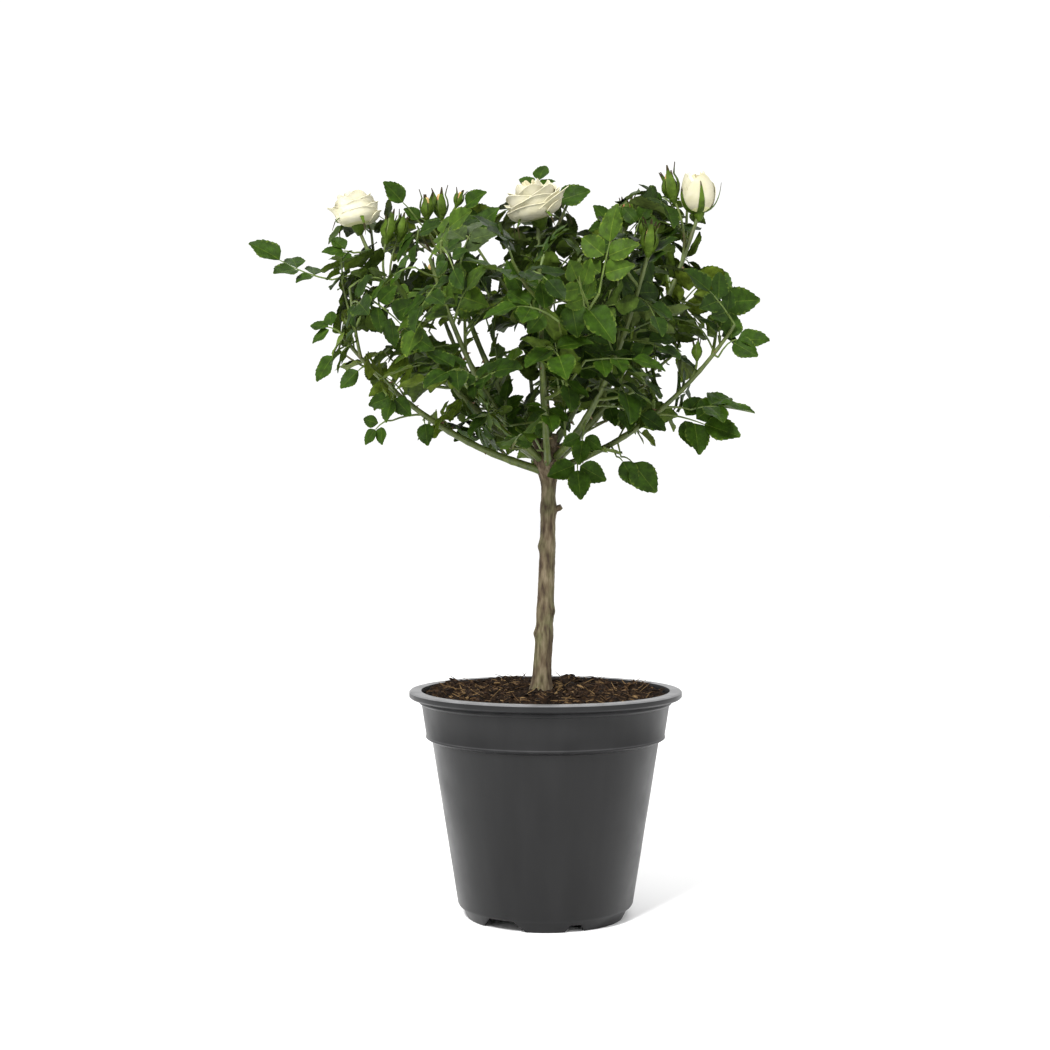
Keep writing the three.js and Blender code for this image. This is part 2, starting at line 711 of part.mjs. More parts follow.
let taken = trunkSolid(GAP);
for (const stem of stems) {
  rose.add(meshOf(`bough_${stem.name}`, wholeOf(boughSolid(stem).subtract(taken)), FINISH.bough));
  taken = taken.add(boughSolid(stem, GAP));
}
for (const stem of stems) {
  rose.add(meshOf(`foliage_${stem.name}`, massSolid(stem), FINISH.foliage));
}

export default rose;
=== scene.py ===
"""Potted standard rose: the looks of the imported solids, modelled piece by piece.

Sizes are in millimetres in the frame of the solids, with +Z up, +X to the viewer's right and -Y
towards the viewer, and become metres where a mesh is made. Angles are in degrees.
"""

import logging
from dataclasses import dataclass, field
from enum import Enum
from math import atan, atan2, cos, degrees, exp, hypot, pi, radians, sin, sqrt, tan
from typing import Callable, Iterator, Sequence

import bpy
import numpy as np
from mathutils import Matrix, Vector, noise


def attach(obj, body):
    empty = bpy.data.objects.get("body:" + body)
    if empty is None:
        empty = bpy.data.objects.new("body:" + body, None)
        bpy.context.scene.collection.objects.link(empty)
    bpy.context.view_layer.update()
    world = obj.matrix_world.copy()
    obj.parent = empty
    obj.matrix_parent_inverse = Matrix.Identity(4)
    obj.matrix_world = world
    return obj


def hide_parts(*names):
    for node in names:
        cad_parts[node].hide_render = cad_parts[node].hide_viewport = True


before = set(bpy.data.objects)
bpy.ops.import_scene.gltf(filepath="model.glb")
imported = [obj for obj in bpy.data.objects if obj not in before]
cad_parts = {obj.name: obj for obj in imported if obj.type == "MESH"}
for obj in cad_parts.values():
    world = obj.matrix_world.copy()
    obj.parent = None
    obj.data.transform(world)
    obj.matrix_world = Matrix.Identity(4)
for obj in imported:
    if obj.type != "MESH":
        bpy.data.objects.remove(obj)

LOG = logging.getLogger("rose")
MM = 0.001
GAP = 0.3
WELD = 1e-4
UP = np.array((0.0, 0.0, 1.0))
GOLDEN_ANGLE = 137.508
EYE_DISTANCE = 1205.0
EYE_HEIGHT = 291.0
GROWTH_SEED = 120

Vec = np.ndarray
Pair = tuple[float, float]
Triple = tuple[float, float, float]
Color = Triple
Faces = list[tuple[int, ...]]
Object = bpy.types.Object
Material = bpy.types.Material
Socket = bpy.types.NodeSocket


class Slot(Enum):
    """The record's material slots."""

    POT = "pot"
    SOIL = "soil"
    BARK = "bark"
    BOUGH = "bough"
    FOLIAGE = "foliage"


# Small geometry

def unit(vector: Vec) -> Vec:
    """A vector's direction."""
    return vector / np.linalg.norm(vector)


def cross(one: Vec, other: Vec) -> Vec:
    """The vector square to two others."""
    (a, b, c), (d, e, f) = one, other
    return np.array((b * f - c * e, c * d - a * f, a * e - b * d))


def lerp(start: float, end: float, share: float) -> float:
    """The value at a share of the way from start to end."""
    return start + (end - start) * share


def heading(azimuth: float, rise: float = 0.0) -> Vec:
    """Unit vector along an azimuth, 0 along +X, that rises by an angle above the level."""
    turn, lift = radians(azimuth), radians(rise)
    return np.array((cos(turn) * cos(lift), sin(turn) * cos(lift), sin(lift)))


def turned_about(vector: Vec, axis: Vec, angle: float) -> Vec:
    """A vector turned about a unit axis by an angle."""
    turn, along = radians(angle), axis * np.dot(axis, vector)
    return vector * cos(turn) + cross(axis, vector) * sin(turn) + along * (1 - cos(turn))


def leaving(axis: Vec, angle: float, roll: float) -> Vec:
    """A direction that leaves an axis.

    Args:
        axis: Unit vector of the twig that is left.
        angle: How far the direction turns away from the axis.
        roll: Where round the axis it leaves.

    Returns:
        The direction.
    """
    side = cross(axis, UP)
    if np.dot(side, side) < WELD:
        side = np.array((1.0, 0.0, 0.0))
    side = turned_about(unit(side), axis, roll)
    return axis * cos(radians(angle)) + side * sin(radians(angle))


def square_to(vector: Vec, axis: Vec) -> Vec:
    """The direction of a vector's part that is square to a unit axis.

    Args:
        vector: What is split.
        axis: The unit axis.

    Returns:
        The direction.
    """
    rest = vector - axis * np.dot(vector, axis)
    if np.dot(rest, rest) < WELD:
        rest = cross(axis, (0.3, 0.9, 0.1))
    return unit(rest)


def outwards(point: Vec) -> Vec:
    """The level direction from the crown's axis to a point."""
    return unit(np.array((point[0], point[1], 0.0)))


def grain(points: Vec, scale: Sequence[float], seed: float = 0.0) -> Vec:
    """Smooth noise from about -1 to 1 at points, by waves in a millimetre along each axis."""
    scaled = points * np.array(scale) + seed
    return np.array([noise.noise(Vector(point)) for point in scaled])


class Seeded:
    """Random numbers from 0 to 1 that are the same on every run."""

    MASK = 0xFFFFFFFF

    def __init__(self, seed: int) -> None:
        """Start the run of numbers at a seed."""
        self.state = seed & self.MASK

    def __call__(self) -> float:
        """The next number.

        Returns:
            A number from 0 to 1.
        """
        self.state = (self.state + 0x6D2B79F5) & self.MASK
        mixed = ((self.state ^ (self.state >> 15)) * (self.state | 1)) & self.MASK
        mixed ^= (mixed + (mixed ^ (mixed >> 7)) * (mixed | 61)) & self.MASK
        return (mixed ^ (mixed >> 14)) / (self.MASK + 1)

    def between(self, low: float, high: float) -> float:
        """A number between two others."""
        return lerp(low, high, self())


@dataclass(frozen=True)
class Curve:
    """A quadratic curve through space from its root to its tip."""

    root: Vec
    bend: Vec
    tip: Vec

    def point(self, share: float) -> Vec:
        """The point at a parameter from 0 to 1."""
        rest = 1 - share
        return rest * rest * self.root + 2 * rest * share * self.bend + share * share * self.tip

    def points(self, shares: Sequence[float]) -> Vec:
        """The points at parameters from 0 to 1, one a row."""
        return np.array([self.point(share) for share in shares])

    def tangent(self, share: float) -> Vec:
        """The direction at a parameter from 0 to 1."""
        return unit((1 - share) * (self.bend - self.root) + share * (self.tip - self.bend))

    def length(self) -> float:
        """The length along the curve."""
        points = self.points([i / 100 for i in range(101)])
        return float(np.linalg.norm(np.diff(points, axis=0), axis=1).sum())

    def stretch(self, start: float, end: float) -> "Curve":
        """The stretch between two parameters.

        Args:
            start: Parameter where the stretch begins.
            end: Parameter where it ends.

        Returns:
            The stretch as a curve of its own.
        """
        bend = (1 - start) * (1 - end) * self.root + start * end * self.tip
        bend = bend + (start * (1 - end) + end * (1 - start)) * self.bend
        return Curve(self.point(start), bend, self.point(end))


def twig_curve(root: Vec, direction: Vec, length: float, rise: float) -> Curve:
    """A twig that sets out in a direction and has risen by a share of its length at its tip."""
    return Curve(root, root + 0.5 * length * direction, root + length * direction + rise * length * UP)


def arched(root: Vec, tip: Vec, arch: float) -> Curve:
    """A twig between two points, with its middle bent up by a share of its length."""
    return Curve(root, 0.5 * (root + tip) + arch * np.linalg.norm(tip - root) * UP, tip)


# Meshes

def deselect() -> None:
    """Leave nothing selected, so that the next operator acts on its own piece alone."""
    bpy.ops.object.select_all(action="DESELECT")


def choose(piece: Object) -> None:
    """Make a piece the only one that the next operator acts on.

    Args:
        piece: The piece.
    """
    deselect()
    piece.select_set(True)
    bpy.context.view_layer.objects.active = piece


def smoothed(piece: Object, angle: float) -> None:
    """Shade a piece smooth, except across edges that are sharper than an angle."""
    choose(piece)
    bpy.ops.object.shade_smooth_by_angle(angle=radians(angle))


def placed(piece: Object, name: str) -> Object:
    """Name a piece and move its place, turn and scale into its mesh.

    Args:
        piece: The piece.
        name: Its name.

    Returns:
        The same piece.
    """
    piece.name = piece.data.name = name
    choose(piece)
    bpy.ops.object.transform_apply(location=True, rotation=True, scale=True)
    return piece


def fit(piece: Object, slot: Slot, nodes: Sequence[str] = ()) -> None:
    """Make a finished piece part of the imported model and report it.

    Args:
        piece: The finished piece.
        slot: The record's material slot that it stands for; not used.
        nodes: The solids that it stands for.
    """
    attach(piece, "root")
    if nodes:
        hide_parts(*nodes)
    piece.data.calc_loop_triangles()
    LOG.info("%s: %d triangles", piece.name, len(piece.data.loop_triangles))


def applied(piece: Object, kind: str, **settings: object) -> None:
    """Add a modifier to a piece and apply it.

    Args:
        piece: The piece.
        kind: Blender's name of the modifier's type.
        **settings: The modifier's settings.
    """
    choose(piece)
    modifier = piece.modifiers.new(kind.lower(), kind)
    for key, value in settings.items():
        setattr(modifier, key, value)
    bpy.ops.object.modifier_apply(modifier=modifier.name)


def turned(name: str, profile: Sequence[Pair], segments: int) -> Object:
    """Model a turned piece: a circle is extruded from ring to ring along its profile.

    Args:
        name: The piece's name.
        profile: Radius and height of each ring, from a small one to a small one.
        segments: Sides of the rings.

    Returns:
        The closed piece.
    """
    deselect()
    radius, height = profile[0]
    place = (0, 0, height * MM)
    bpy.ops.mesh.primitive_circle_add(vertices=segments, radius=radius * MM, location=place)
    piece = bpy.context.object
    bpy.ops.object.mode_set(mode="EDIT")
    bpy.ops.mesh.select_all(action="SELECT")
    for next_radius, next_height in profile[1:]:
        step = {"value": (0, 0, (next_height - height) * MM)}
        bpy.ops.mesh.extrude_region_move(TRANSFORM_OT_translate=step)
        ratio = next_radius / radius
        centre = (0, 0, next_height * MM)
        bpy.ops.transform.resize(value=(ratio, ratio, 1), center_override=centre)
        radius, height = next_radius, next_height
    bpy.ops.mesh.select_all(action="SELECT")
    bpy.ops.mesh.fill_holes(sides=0)
    bpy.ops.mesh.select_all(action="SELECT")
    bpy.ops.mesh.normals_make_consistent(inside=False)
    bpy.ops.object.mode_set(mode="OBJECT")
    return placed(piece, name)


def move_to(piece: Object, points: Vec) -> None:
    """Put a piece's vertices at points in millimetres."""
    piece.data.vertices.foreach_set("co", (points * MM).astype(np.float32).ravel())
    piece.data.update()


def coat(piece: Object, materials: Sequence[Material], angle: float) -> None:
    """Give a piece its materials and shade it smooth.

    Args:
        piece: The piece.
        materials: Its materials, in the order of their numbers.
        angle: Edges sharper than this stay sharp.
    """
    piece.data.materials.clear()
    for material in materials:
        piece.data.materials.append(material)
    smoothed(piece, angle)


class Heap:
    """Many small things of one kind, gathered to become one joined mesh."""

    def __init__(self) -> None:
        """Begin with nothing gathered."""
        self.points: list[Vec] = []
        self.faces: Faces = []
        self.finishes: list[int] = []
        self.count = 0

    def add(self, points: Vec, faces: Faces, finish: int | Sequence[int] = 0) -> None:
        """Gather one thing.

        Args:
            points: Its vertices in millimetres, one a row.
            faces: Its faces, numbered from its first vertex.
            finish: The number of its finish, or one number for each face.
        """
        shift = self.count
        self.points.append(points)
        self.faces.extend(tuple(corner + shift for corner in face) for face in faces)
        self.finishes.extend([finish] * len(faces) if isinstance(finish, int) else finish)
        self.count += len(points)

    def piece(self, name: str, materials: Sequence[Material], angle: float) -> Object:
        """Make the joined mesh.

        Args:
            name: The piece's name.
            materials: Its finishes, in the order of their numbers.
            angle: Edges sharper than this stay sharp.

        Returns:
            The piece.
        """
        mesh = bpy.data.meshes.new(name)
        mesh.from_pydata(np.concatenate(self.points) * MM, [], self.faces)
        for material in materials:
            mesh.materials.append(material)
        mesh.polygons.foreach_set("material_index", self.finishes)
        mesh.validate()
        piece = bpy.data.objects.new(name, mesh)
        bpy.context.scene.collection.objects.link(piece)
        smoothed(piece, angle)
        return piece


def tube(curve: Curve, radius_at: Callable[[float], float], sides: int, steps: int) -> tuple[Vec, Faces]:
    """A tapering tube along a curve, closed at both ends.

    Args:
        curve: The tube's line.
        radius_at: The radius at a share of the line.
        sides: Sides of its rings.
        steps: Rings after the first.

    Returns:
        Its vertices and faces.
    """
    rows = []
    normal = square_to(UP, curve.tangent(0))
    for step in range(steps + 1):
        share = step / steps
        axis = curve.tangent(share)
        normal = square_to(normal, axis)
        across = cross(axis, normal)
        for side in range(sides):
            turn = 2 * pi * side / sides
            spoke = normal * cos(turn) + across * sin(turn)
            rows.append(curve.point(share) + radius_at(share) * spoke)
    faces: Faces = []
    for step in range(steps):
        low, high = step * sides, (step + 1) * sides
        for side in range(sides):
            after = (side + 1) % sides
            faces.append((low + side, low + after, high + after, high + side))
    faces.append(tuple(reversed(range(sides))))
    faces.append(tuple(range(steps * sides, (steps + 1) * sides)))
    return np.array(rows), faces


def swollen(curve: Curve, points: Vec, rings: int, swell: Vec) -> Vec:
    """A tube's points, ring by ring, moved out from its line by a factor for each."""
    middle = np.repeat(curve.points([i / (rings - 1) for i in range(rings)]), len(points) // rings, axis=0)
    return middle + (points - middle) * swell[:, None]


def tapered(radius: float, tip: float) -> Callable[[float], float]:
    """The rule of a radius that goes evenly from root to tip."""
    return lambda share: lerp(radius, tip, share)


# Finishes

class Nodes:
    """A material whose nodes are added and linked one by one."""

    def __init__(self, name: str) -> None:
        """Begin a material with its shader and the coordinates of the piece.

        Args:
            name: The material's name.
        """
        self.material = bpy.data.materials.new(name)
        self.material.use_nodes = True
        self.tree = self.material.node_tree
        self.tree.nodes.clear()
        self.shader = self.node("BsdfPrincipled")
        self.node("OutputMaterial", Surface=self.shader.outputs["BSDF"])
        self.place = self.node("TexCoord").outputs["Object"]

    def put(self, node: bpy.types.Node, **values: object) -> None:
        """Set or link a node's inputs.

        Args:
            node: The node.
            **values: Values or sockets for its inputs, by their names with _ for spaces.
        """
        for key, value in values.items():
            target = node.inputs[key.replace("_", " ")]
            if isinstance(value, Socket):
                self.tree.links.new(value, target)
            else:
                target.default_value = value

    def node(self, kind: str, **values: object) -> bpy.types.Node:
        """Add a node.

        Args:
            kind: Its type, without the words that all types begin with.
            **values: Values or sockets for its inputs.

        Returns:
            The node.
        """
        node = self.tree.nodes.new(f"ShaderNode{kind}")
        self.put(node, **values)
        return node

    def noise(self, scale: float, detail: float, stretch: Triple = (1, 1, 1)) -> Socket:
        """A noise pattern, by its waves in a metre, its finer layers and its scale along each axis."""
        place = self.node("Mapping", Vector=self.place, Scale=stretch).outputs["Vector"]
        return self.node("TexNoise", Vector=place, Scale=scale, Detail=detail).outputs["Fac"]

    def ramp(self, value: Socket, stops: Sequence[tuple[float, Color]]) -> Socket:
        """Colours that follow a value.

        Args:
            value: The value to follow.
            stops: Positions with their colours.

        Returns:
            The colour.
        """
        node = self.node("ValToRGB", Fac=value)
        elements = node.color_ramp.elements
        while len(elements) < len(stops):
            elements.new(0.5)
        for element, (position, color) in zip(elements, stops):
            element.position = position
            element.color = (*color, 1)
        return node.outputs["Color"]

    def mixed(self, share: Socket, one: Socket, other: Socket) -> Socket:
        """A mix of two colours by a share.

        Args:
            share: Share of the second colour.
            one: The first colour.
            other: The second colour.

        Returns:
            The mix.
        """
        node = self.node("Mix", Factor=share)
        node.data_type = "RGBA"
        targets = [socket for socket in node.inputs if socket.type == "RGBA"]
        for color, target in zip((one, other), targets):
            self.tree.links.new(color, target)
        return next(socket for socket in node.outputs if socket.type == "RGBA")

    def ranged(self, value: Socket, low: float, high: float, start: float = 0.3, end: float = 0.7) -> Socket:
        """A value that goes from low to high where another goes from start to end."""
        node = self.node("MapRange", Value=value, From_Min=start, From_Max=end, To_Min=low, To_Max=high)
        return node.outputs["Result"]

    def relief(self, height: Socket, strength: float, depth: float) -> None:
        """Give the surface a fine relief by a pattern of heights, its strength and its depth."""
        bump = self.node("Bump", Height=height, Strength=strength, Distance=depth * MM)
        self.put(self.shader, Normal=bump.outputs["Normal"])

    def dress(self, color: Socket, roughness: float | Socket, specular: float) -> Material:
        """Finish the shader with its colour, its roughness and how strongly it reflects."""
        self.put(self.shader, Base_Color=color, Roughness=roughness, Specular_IOR_Level=specular)
        return self.material


@dataclass(frozen=True)
class MouldedPlastic:
    """Satin plastic with faint flow marks down its wall."""

    name: str = "moulded_plastic"
    dark: Color = (0.0055, 0.0055, 0.0058)
    light: Color = (0.0085, 0.0085, 0.0088)

    def material(self) -> Material:
        """The finish as a material.

        Returns:
            The material.
        """
        nodes = Nodes(self.name)
        flow = nodes.noise(60, 4, (1, 1, 0.12))
        color = nodes.ramp(flow, ((0.35, self.dark), (0.7, self.light)))
        nodes.relief(nodes.noise(1400, 2), 0.12, 0.06)
        return nodes.dress(color, nodes.ranged(nodes.noise(45, 5), 0.32, 0.44), 0.22)


@dataclass(frozen=True)
class PottingMix:
    """Dark crumbs of potting mix."""

    damp: Color = (0.0020, 0.0012, 0.0008)
    crumb: Color = (0.015, 0.0085, 0.0045)
    dry: Color = (0.055, 0.032, 0.016)

    def material(self) -> Material:
        """The finish as a material.

        Returns:
            The material.
        """
        nodes = Nodes("potting_mix")
        stops = ((0.34, self.damp), (0.55, self.crumb), (0.74, self.dry))
        color = nodes.ramp(nodes.noise(330, 8), stops)
        nodes.relief(nodes.noise(700, 6), 0.8, 1.0)
        return nodes.dress(color, 0.95, 0.08)


@dataclass(frozen=True)
class Chip:
    """A fibre or chip of wood in the potting mix."""

    name: str
    color: Color

    def material(self) -> Material:
        """The finish as a material.

        Returns:
            The material.
        """
        nodes = Nodes(self.name)
        pale = tuple(min(1.0, 1.5 * part) for part in self.color)
        color = nodes.ramp(nodes.noise(600, 4), ((0.3, self.color), (0.75, pale)))
        nodes.relief(nodes.noise(1500, 3), 0.4, 0.2)
        return nodes.dress(color, 0.9, 0.1)


@dataclass(frozen=True)
class Bark:
    """Mottled bark of the bare stem, brown or greenish in blotches and darker in its fissures."""

    dark: Color = (0.030, 0.018, 0.010)
    brown: Color = (0.076, 0.054, 0.029)
    pale: Color = (0.142, 0.112, 0.068)
    green: Color = (0.084, 0.079, 0.034)

    def material(self) -> Material:
        """The finish as a material.

        Returns:
            The material.
        """
        nodes = Nodes("bark")
        fissure = nodes.noise(420, 6, (1, 1, 0.22))
        blotch = nodes.noise(70, 4, (1, 1, 0.6))
        plain = nodes.ramp(fissure, ((0.32, self.dark), (0.5, self.brown), (0.7, self.pale)))
        tinted = nodes.ramp(fissure, ((0.32, self.dark), (0.52, self.green), (0.72, self.pale)))
        color = nodes.mixed(nodes.ranged(blotch, 0, 1, 0.42, 0.62), plain, tinted)
        nodes.relief(nodes.noise(800, 6, (1, 1, 0.3)), 0.6, 0.5)
        return nodes.dress(color, nodes.ranged(fissure, 0.9, 0.7), 0.3)


@dataclass(frozen=True)
class GreenBark:
    """Smooth green bark of boughs and twigs, flushed with red or brown in places."""

    name: str
    dark: Color
    light: Color
    flush: Color
    flush_from: float

    def material(self) -> Material:
        """The finish as a material.

        Returns:
            The material.
        """
        nodes = Nodes(self.name)
        skin = nodes.ramp(nodes.noise(260, 4, (1, 1, 0.5)), ((0.3, self.dark), (0.7, self.light)))
        flush = nodes.ramp(nodes.noise(520, 3), ((0.3, self.flush), (0.7, self.dark)))
        share = nodes.ranged(nodes.noise(42, 3), 0, 1, self.flush_from, self.flush_from + 0.12)
        nodes.relief(nodes.noise(900, 3, (1, 1, 0.4)), 0.25, 0.2)
        return nodes.dress(nodes.mixed(share, skin, flush), 0.5, 0.4)


@dataclass(frozen=True)
class LeafSkin:
    """One side of a leaf: a plain green with a faint mottle between its veins."""

    name: str
    color: Color
    roughness: float

    def material(self) -> Material:
        """The finish as a material.

        Returns:
            The material.
        """
        nodes = Nodes(self.name)
        deep = tuple(0.6 * part for part in self.color)
        bright = tuple(1.35 * part for part in self.color)
        color = nodes.ramp(nodes.noise(220, 5), ((0.3, deep), (0.7, bright)))
        nodes.relief(nodes.noise(430, 4), 0.7, 0.6)
        sheen = nodes.ranged(nodes.noise(90, 2), self.roughness - 0.06, self.roughness + 0.06)
        return nodes.dress(color, sheen, 0.09)


@dataclass(frozen=True)
class PetalSkin:
    """A petal: soft ivory with faint veins."""

    name: str
    shade: Color
    color: Color

    def material(self) -> Material:
        """The finish as a material.

        Returns:
            The material.
        """
        nodes = Nodes(self.name)
        color = nodes.ramp(nodes.noise(110, 4), ((0.32, self.shade), (0.62, self.color)))
        nodes.relief(nodes.noise(500, 3, (1, 1, 0.4)), 0.15, 0.2)
        return nodes.dress(color, 0.62, 0.3)


@dataclass(frozen=True)
class PaleFloor:
    """Plain pale studio floor."""

    low: Color = (0.94, 0.94, 0.94)
    high: Color = (0.96, 0.96, 0.96)

    def material(self) -> Material:
        """The finish as a material."""
        nodes = Nodes("pale_floor")
        return nodes.dress(nodes.ramp(nodes.noise(3, 2), ((0.3, self.low), (0.7, self.high))), 0.9, 0.1)


class Finishes(Enum):
    """The finishes of one piece, each told by its number on that piece."""

    @property
    def number(self) -> int:
        """The finish's number."""
        return list(type(self)).index(self)

    @classmethod
    def materials(cls) -> list[Material]:
        """All the finishes as materials, in the order of their numbers."""
        return [finish.value.material() for finish in cls]


class PaintedHighlight(Finishes):
    """How pale the pot's plastic is painted: plain on its walls, with painted highlights on its beads and on
    the rim's top.
    """

    PLAIN = MouldedPlastic()
    # Painted highlights: lighter plastic on the upward faces of the beads, and lighter still on the rim's
    # top.
    BEAD_HIGHLIGHT = MouldedPlastic("bead_highlight_plastic", (0.020, 0.020, 0.021), (0.034, 0.034, 0.035))
    RIM_HIGHLIGHT = MouldedPlastic("rim_highlight_plastic", (0.105, 0.105, 0.107), (0.155, 0.155, 0.158))


class ChipWood(Finishes):
    """The woods of chips and fibres."""

    DARK = Chip("chip_dark", (0.007, 0.004, 0.0025))
    BROWN = Chip("chip_brown", (0.026, 0.014, 0.007))
    TAN = Chip("chip_tan", (0.070, 0.041, 0.019))
    OCHRE = Chip("chip_ochre", (0.130, 0.082, 0.036))


class TwigBark(Finishes):
    """The bark of twigs and of leaf stalks."""

    TWIG = GreenBark("twig_bark", (0.046, 0.072, 0.010), (0.090, 0.120, 0.020), (0.092, 0.050, 0.020), 0.58)
    STALK = GreenBark("stalk_bark", (0.050, 0.082, 0.010), (0.095, 0.135, 0.022), (0.090, 0.055, 0.020), 0.62)


class PetalTint(Finishes):
    """The ivories of open petals, some of them carrying painted shade, and the colours of buds."""

    OUTER = PetalSkin("petal_outer", (0.51, 0.48, 0.31), (0.60, 0.57, 0.43))
    INNER = PetalSkin("petal_inner", (0.53, 0.50, 0.34), (0.61, 0.58, 0.45))
    HEART = PetalSkin("petal_heart", (0.52, 0.47, 0.26), (0.58, 0.53, 0.36))
    # The petals' yellow-green feet: partly their own tinge, partly painted shade deep in the bloom.
    FOOT_TINT_AND_SHADE = PetalSkin("petal_foot_tint_and_shade", (0.40, 0.42, 0.17), (0.52, 0.50, 0.28))
    BUD_TIP = PetalSkin("bud_tip", (0.24, 0.06, 0.035), (0.46, 0.34, 0.12))
    BUD = PetalSkin("bud_closed", (0.045, 0.078, 0.008), (0.105, 0.140, 0.020))
    # A darker ivory: painted shade that dims the outer petals of the half-open bloom, which face the lamp.
    SHADED = PetalSkin("petal_shaded", (0.365, 0.345, 0.215), (0.430, 0.405, 0.295))


class SepalTint(Finishes):
    """The green of sepals and the brown of their tips."""

    BLADE = LeafSkin("sepal", (0.047, 0.080, 0.007), 0.55)
    TIP = LeafSkin("sepal_tip", (0.034, 0.026, 0.010), 0.6)


class Tone(Enum):
    """The greens that sprays of leaves are dealt, one of them a painted sky sheen: upper side, underside and
    roughness.
    """

    SHADE = ((0.0076, 0.0190, 0.0010), (0.030, 0.051, 0.006), 0.56)
    DEEP = ((0.0110, 0.0268, 0.0012), (0.041, 0.067, 0.007), 0.56)
    MID = ((0.0170, 0.0400, 0.0015), (0.050, 0.080, 0.008), 0.57)
    FRESH = ((0.0290, 0.0570, 0.0038), (0.068, 0.100, 0.009), 0.57)
    # A greyer, bluer green that paints the sheen of the sky reflected on the leaves.
    SKY_SHEEN = ((0.0260, 0.0420, 0.0100), (0.050, 0.072, 0.015), 0.52)
    YOUNG = ((0.0640, 0.1000, 0.0070), (0.090, 0.126, 0.013), 0.57)

    def skins(self) -> tuple[LeafSkin, LeafSkin]:
        """The finishes of the two sides.

        Returns:
            The upper side's and the underside's.
        """
        upper, under, roughness = self.value
        name = self.name.lower()
        return LeafSkin(f"leaf_{name}_upper", upper, roughness), LeafSkin(f"leaf_{name}_under", under, 0.6)


# Pot and soil

